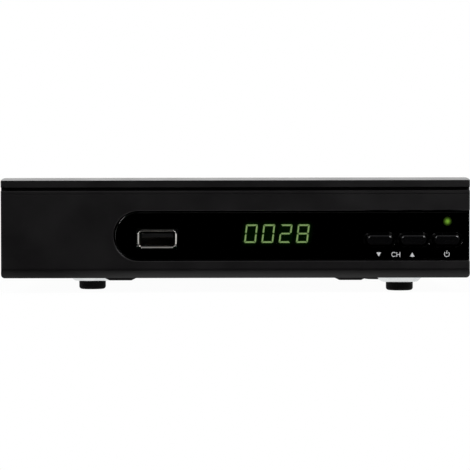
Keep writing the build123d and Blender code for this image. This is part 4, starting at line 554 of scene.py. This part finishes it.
# %% Glow of the diode
LED_R = 1.45  # in millimetres like the rest of a profile
LED_STEPS = ((0.0, 0.4, 6.6), (0.4, 0.75, 4.4), (0.75, 1.05, 2.2), (1.05, 1.3, 0.9))  # radii and strength
LED_SKIN = 0.05  # how far the front of a ring stands off the dome
LED_GAP = LED_SKIN / 5  # how far its back does
ARC_STEPS = 3
lowest, highest, middle = box_of("status_led")
tip = Vector((middle.x, lowest.y, middle.z))


def dome_depth(radius, over):
    """How far behind the tip a dome lies, at a radius, when it is this much larger than the diode."""
    return LED_R - math.sqrt((LED_R + over) ** 2 - radius**2)


for level, (inner, outer, strength) in enumerate(LED_STEPS):
    radii = [inner + (outer - inner) * k / ARC_STEPS for k in range(ARC_STEPS + 1)]
    front = [(r, dome_depth(r, LED_SKIN)) for r in radii]
    back = [(r, dome_depth(r, LED_GAP)) for r in reversed(radii)]
    piece_of(turned(front + back, tip, 40), f"diode_glow_{level + 1}",
             glowing(f"light in the diode, step {level + 1}", LED_EPOXY, LED_LIGHT, strength, LED_ROUGH))
print("glow pieces:", len(PAINTED_GLOW_LAYERS) + 1 + len(LED_STEPS))

# %% [markdown]
# ## Marks under the keys
# The signs are pad printed: a film of grey ink a few hundredths of a millimetre thick, with sharp edges. They
# are built from bars, a disc with three corners, and rings spun through part of a turn.

# %% Printed marks
INK = 0.06 * MM
STROKE = 0.25 * MM
LETTER_H = 1.7 * MM
LETTER_W = 1.12 * MM  # between the stems of the H
C_ARC = (38, 284)  # first angle and sweep, in degrees
ARROW_R = 0.98 * MM
ARROW_STRETCH = 1.05
POWER_R = 0.9 * MM  # middle of the ring
POWER_ARC = (132, 276)
POWER_BAR = 1.15 * MM
RING_STEPS = 24
DOWN_AT = (-0.4 * MM, 0.25 * MM)  # from the key's middle and from the letters' middle height
UP_AT = (-0.5 * MM, -0.3 * MM)
C_AT = -0.62 * MM  # from the middle between the arrows
H_AT = 1.04 * MM
RING_RISE = 0.1 * MM  # over the letters' middle height
BAR_RISE = 0.8 * MM
MARGIN = 0.12 * MM  # from the lower edge of the printed area to the letters
lowest, highest, middle = box_of("printed_marks")
keys = [box_of(f"{name}_button")[2].x for name in ("ch_down", "ch_up", "power")]
ink_back = highest.y
letters_z = lowest.z + LETTER_H / 2 + MARGIN


def thick(shape, centre):
    """Gives flat ink its thickness, towards the front, and moves it to its place."""
    grown = bmesh.ops.extrude_face_region(shape, geom=shape.faces[:])
    bmesh.ops.translate(shape, vec=(0, -INK, 0), verts=new_verts(grown))
    bmesh.ops.translate(shape, vec=(centre[0], ink_back, centre[1]), verts=shape.verts)
    return shape


def ring(centre, radius, arc):
    """Part of a flat ring of ink, anticlockwise from an angle on the right and through a sweep."""
    first, sweep = (math.radians(angle) for angle in arc)
    shape = bmesh.new()
    verts = [shape.verts.new(Vector((radius + side * STROKE / 2, 0, 0))) for side in (-1, 1)]
    edge = shape.edges.new(verts)
    bmesh.ops.rotate(shape, cent=(0, 0, 0), matrix=Matrix.Rotation(-first, 3, "Y"), verts=verts)
    bmesh.ops.spin(shape, geom=verts + [edge], cent=(0, 0, 0), axis=(0, -1, 0), angle=sweep, steps=RING_STEPS)
    return thick(shape, centre)


def bar(width, height, centre):
    """An upright bar of ink."""
    shape = rectangle(width, height)
    bmesh.ops.rotate(shape, cent=(0, 0, 0), matrix=UPRIGHT, verts=shape.verts)
    return thick(shape, centre)


def arrow(centre, up):
    """A solid arrowhead that points up or down."""
    shape = bmesh.new()
    bmesh.ops.create_circle(shape, cap_ends=True, segments=3, radius=ARROW_R)
    turn = Matrix.Rotation(0 if up else math.pi, 3, "Y")
    for matrix in (UPRIGHT, turn):
        bmesh.ops.rotate(shape, cent=(0, 0, 0), matrix=matrix, verts=shape.verts)
    bmesh.ops.scale(shape, vec=(1, 1, ARROW_STRETCH), verts=shape.verts)
    return thick(shape, centre)


marks = bmesh.new()
down_x, up_x = keys[0] + DOWN_AT[0], keys[1] + UP_AT[0]
c_x, h_x = ((down_x + up_x) / 2 + offset for offset in (C_AT, H_AT))
join(marks, arrow((down_x, letters_z + DOWN_AT[1]), False))
join(marks, arrow((up_x, letters_z + UP_AT[1]), True))
join(marks, ring((c_x, letters_z), (LETTER_H - STROKE) / 2, C_ARC))
for side in (-1, 1):
    join(marks, bar(STROKE, LETTER_H, (h_x + side * LETTER_W / 2, letters_z)))
join(marks, bar(LETTER_W - STROKE, STROKE, (h_x, letters_z)))
join(marks, ring((keys[2], letters_z + RING_RISE), POWER_R, POWER_ARC))
join(marks, bar(STROKE, POWER_BAR, (keys[2], letters_z + BAR_RISE)))
piece_of(marks, "marks_inked", materials["mark_ink"], ["printed_marks"])
print("marks between x", round(lowest.x / MM, 1), "and", round(highest.x / MM, 1))

# %% [markdown]
# ## Aerial socket
# The aerial screws on to a barrel with 32 threads to the inch. Rings of the same pitch look the same as a
# helix at this size and close on themselves. Its nut is turned with a cone at both ends and then cut to six
# flats, which leaves the curved edge that every hexagon nut shows.

# %% Threaded barrel and nut
INCH = 25.4  # in millimetres like the rest of a profile
PITCH = INCH / 32
THREAD_DEPTH = 0.42
THREAD = ((THREAD_DEPTH, 0.1), (THREAD_DEPTH, 0.22), (0, 0.55), (0, 0.77))  # depth, and share of the pitch
THREAD_END = 0.9  # the barrel's end stays plain for this far
BARREL_R = 4.75
COLLAR_R = 4.95
BORE_R = 3.9
ROOT_R = BARREL_R - THREAD_DEPTH
BARREL_ROUND = (0.15, 0.25)  # what the barrel's end loses, in radius and in length
BORE_ROUND = (0.15, 0.2)  # the same for the bore's mouth
NUT_AF = 11.0  # across the flats
NUT_CONE = 0.55  # how much the cone takes off a corner's height
NUT_CONE_R = 0.9  # and off its radius
NUT_FIT = 0.03  # gap between the nut's hole and the collar
CONE_STEPS = 4
lowest, highest, middle = box_of("f_connector")
nut_low, nut_high, nut_middle = box_of("f_nut")
root = Vector((middle.x, lowest.y, middle.z))
length = (highest.y - lowest.y) / MM
threads_from = (nut_high.y - lowest.y) / MM
threads = int((length - THREAD_END - threads_from) / PITCH)
profile = [(BORE_R, 0), (COLLAR_R, 0), (COLLAR_R, threads_from)]
for k in range(threads):
    start = threads_from + k * PITCH
    profile += [(BARREL_R - depth, start + share * PITCH) for depth, share in THREAD]
profile += [(ROOT_R, threads_from + threads * PITCH), (ROOT_R, length - BARREL_ROUND[1]),
            (ROOT_R - BARREL_ROUND[0], length), (BORE_R + BORE_ROUND[0], length),
            (BORE_R, length - BORE_ROUND[1])]
piece_of(turned(profile, root, 56), "aerial_barrel_threaded", materials["nickel_plate"],
         ["f_connector"])

corner_r = NUT_AF / 2 / math.cos(math.pi / 6)
nut_t = (nut_high.y - nut_low.y) / MM
slope = [(corner_r - NUT_CONE_R * (1 - k / CONE_STEPS), NUT_CONE * (k / CONE_STEPS))
         for k in range(CONE_STEPS + 1)]
far_slope = [(radius, nut_t - depth) for radius, depth in reversed(slope)]
profile = [(COLLAR_R + NUT_FIT, 0)] + slope + far_slope + [(COLLAR_R + NUT_FIT, nut_t)]
nut = turned(profile, Vector((nut_middle.x, nut_low.y, nut_middle.z)), 72)
for vert in nut.verts:
    across = Vector((vert.co.x - nut_middle.x, vert.co.z - nut_middle.z))
    turn = math.atan2(across.y, across.x) % (math.pi / 3) - math.pi / 6
    flat = NUT_AF / 2 * MM / math.cos(turn)
    if across.length > flat:
        vert.co.x = nut_middle.x + across.x * flat / across.length
        vert.co.z = nut_middle.z + across.y * flat / across.length
piece_of(nut, "aerial_nut_hexagon", materials["nickel_plate"], ["f_nut"])
print("threads:", threads)

# %% [markdown]
# ## Audio socket
# The barrel of a phono socket is drawn from thin brass and nickelled. Its end is rolled inwards to a round
# lip, and a shallow groove behind it gives the plug's skirt something to grip.

# %% Rolled barrel
RCA_R = 4.15  # in millimetres like the rest of a profile
RCA_ROOT_R = 3.95
RCA_BORE_R = 3.55
RCA_ROLL = (RCA_R - RCA_BORE_R) / 2
ROLL_STEPS = 8
GROOVE_DEPTH = 0.12
GROOVE = ((2.6, 0), (2.4, GROOVE_DEPTH), (1.9, GROOVE_DEPTH), (1.7, 0))  # from the end, and depth
lowest, highest, middle = box_of("rca_barrel")
housing_front = box_of("rca_housing")[1].y
length = (highest.y - lowest.y) / MM
step = (housing_front - lowest.y) / MM
roll = [(RCA_R - RCA_ROLL + RCA_ROLL * math.sin(a), length - RCA_ROLL + RCA_ROLL * math.cos(a))
        for a in [math.pi / 2 - k * math.pi / ROLL_STEPS for k in range(ROLL_STEPS + 1)]]
groove = [(RCA_R - depth, length - back) for back, depth in GROOVE]
profile = [(RCA_BORE_R, 0), (RCA_ROOT_R, 0), (RCA_ROOT_R, step), (RCA_R, step)] + groove + roll
piece_of(turned(profile, Vector((middle.x, lowest.y, middle.z)), 56), "phono_barrel_rolled",
         materials["nickel_plate"], ["rca_barrel"])

# %% [markdown]
# ## Table
# The table is a pale sheet that ends short in front, so that the upright panel doesn't mirror it. The camera
# sees it nearly white, with a soft shadow left in it that fades out towards the front edge, and bare metal
# mirrors the same white. Painted shade makes its two ends in front of the panel darker, so they throw less
# light up.

# %% Table
TABLE_AHEAD = 4.6 * MM  # how far the table runs in front of the panel
TABLE_DEPTH = 700 * MM
TABLE_WIDTH = 1400 * MM
SHADOW_SHARE = 0.96  # share of plain white in what the camera sees under the receiver
MIRRORED_SHARE = 0.9  # share of plain white in what gloss mirrors
PAINTED_SHADE_DEPTH = 5 * MM  # how far behind the panel the painted shade of the two ends fades out
LEFT_PAINTED_SHADE = (0.1, 1.0, -0.065, -0.03)  # painted shade at the left end: two shares of full light, and where they hold along x, in metres
# the same painted shade at the right end
RIGHT_PAINTED_SHADE = (1.0, 0.55, 0.02, 0.07)
floor_mesh = bpy.data.meshes.new("table")
shape = rectangle(TABLE_WIDTH, TABLE_DEPTH)
bmesh.ops.translate(shape, vec=(0, PANEL_Y - TABLE_AHEAD + TABLE_DEPTH / 2, 0), verts=shape.verts)
shape.to_mesh(floor_mesh)
shape.free()
floor = bpy.data.objects.new("table", floor_mesh)
bpy.context.scene.collection.objects.link(floor)

material = bpy.data.materials.new("pale studio table")
material.use_nodes = True
tree = material.node_tree
tree.nodes.remove(tree.nodes["Principled BSDF"])
path = tree.nodes.new("ShaderNodeLightPath").outputs
share = between(tree, along(tree, "Y"), 1.0, SHADOW_SHARE, PANEL_Y - TABLE_AHEAD, PANEL_Y)
seen = calculated(tree, "MULTIPLY", path["Is Camera Ray"], share)
# painted shade: the table's colour and the white it mirrors are made darker at its two ends in front of the
# panel
ends = calculated(tree, "MULTIPLY", between(tree, along(tree, "X"), *LEFT_PAINTED_SHADE),
                  between(tree, along(tree, "X"), *RIGHT_PAINTED_SHADE))
under = between(tree, along(tree, "Y"), 0.0, 1.0, PANEL_Y, PANEL_Y + PAINTED_SHADE_DEPTH)
pale = calculated(tree, "MAXIMUM", ends, under)
bright = calculated(tree, "MULTIPLY", pale, MIRRORED_SHARE)
mirrored = calculated(tree, "MULTIPLY", path["Is Glossy Ray"], bright)
# the matt colour is painted darker where the painted shade lies
matt = add(tree, "ShaderNodeBsdfDiffuse", Color=blend_of(tree, pale, "#8a8a8a", "#c8c8c8")).outputs[0]
white = add(tree, "ShaderNodeEmission", Color=(1, 1, 1, 1), Strength=1.0).outputs[0]
both = add(tree, "ShaderNodeMixShader", Fac=calculated(tree, "ADD", seen, mirrored))
tree.links.new(matt, both.inputs[1])
tree.links.new(white, both.inputs[2])
tree.links.new(both.outputs[0], tree.nodes["Material Output"].inputs["Surface"])
floor_mesh.materials.append(material)

# %% [markdown]
# ## Light
# Gloss black shows its surroundings more than itself. In a light tent with a dark opening behind the camera,
# flat faces towards the camera stay black and only rounded edges catch the white walls. Two softboxes above
# and beside the receiver put the bright ends on the keys' edges, and a small strip lights the panel's right.

# %% Light tent and lamps
world = bpy.data.worlds.new("light tent")
bpy.context.scene.world = world
world.use_nodes = True
tree = world.node_tree
tree.nodes.remove(tree.nodes["Background"])
towards = tree.nodes.new("ShaderNodeTexCoord").outputs["Generated"]


def wall(direction, start, end, strength):
    """A lit wall of the tent, in a direction, from the cosine where it starts to where it is full."""
    cosine = add(tree, "ShaderNodeVectorMath", {"operation": "DOT_PRODUCT"}, input0=towards,
                 input1=direction).outputs["Value"]
    return add(tree, "ShaderNodeMapRange", {"interpolation_type": "SMOOTHSTEP"}, Value=cosine,
               From_Min=start, From_Max=end, To_Min=0.0, To_Max=strength).outputs["Result"]


WALLS = (  # direction, cosines where the wall starts and where it is full, strength
    ((0, 1, 0), -0.05, 0.6, 1.7),
    ((0.77, 0, 0.64), 0.75, 0.97, 0.7),
    ((-0.77, 0, 0.64), 0.75, 0.97, 1.5),
    ((0, 0, 1), 0.5, 0.95, 0.3),
    ((-0.87, -0.5, 0), 0.93, 0.99, 1.1),
    ((0.87, -0.5, 0), 0.93, 0.99, 0.75),
)
light = 0.0
for values in WALLS:
    light = calculated(tree, "ADD", wall(*values), light)
light = calculated(tree, "MULTIPLY", light, wall((0, 0, 1), -0.25, 0.0, 1.0))  # nothing shines from below
walls = add(tree, "ShaderNodeBackground", Color=(1, 1, 1, 1), Strength=light).outputs[0]
backdrop = add(tree, "ShaderNodeBackground", Color=(1, 1, 1, 1), Strength=1.0).outputs[0]
path = tree.nodes.new("ShaderNodeLightPath").outputs
both = add(tree, "ShaderNodeMixShader", Fac=path["Is Camera Ray"])
tree.links.new(walls, both.inputs[1])
tree.links.new(backdrop, both.inputs[2])
tree.links.new(both.outputs[0], tree.nodes["World Output"].inputs["Surface"])


def softbox(name, position, target, size, power):
    """A square lamp that looks at a point."""
    data = bpy.data.lights.new(name, "AREA")
    data.shape = "SQUARE"
    data.size = size
    data.energy = power
    lamp = bpy.data.objects.new(name, data)
    lamp.location = position
    aim(lamp, target)
    bpy.context.scene.collection.objects.link(lamp)


softbox("softbox_left", (-0.84, -0.65, 0.62), (0, 0, 0.02), 0.42, 6.2)
softbox("softbox_right", (0.66, -0.55, 0.62), (0, 0, 0.02), 0.42, 4.6)
softbox("strip_right", (0.36, -0.62, 0.42), (0.04, -0.06, 0.02), 0.25, 2.6)
scene = bpy.context.scene
scene.view_settings.view_transform = "Standard"
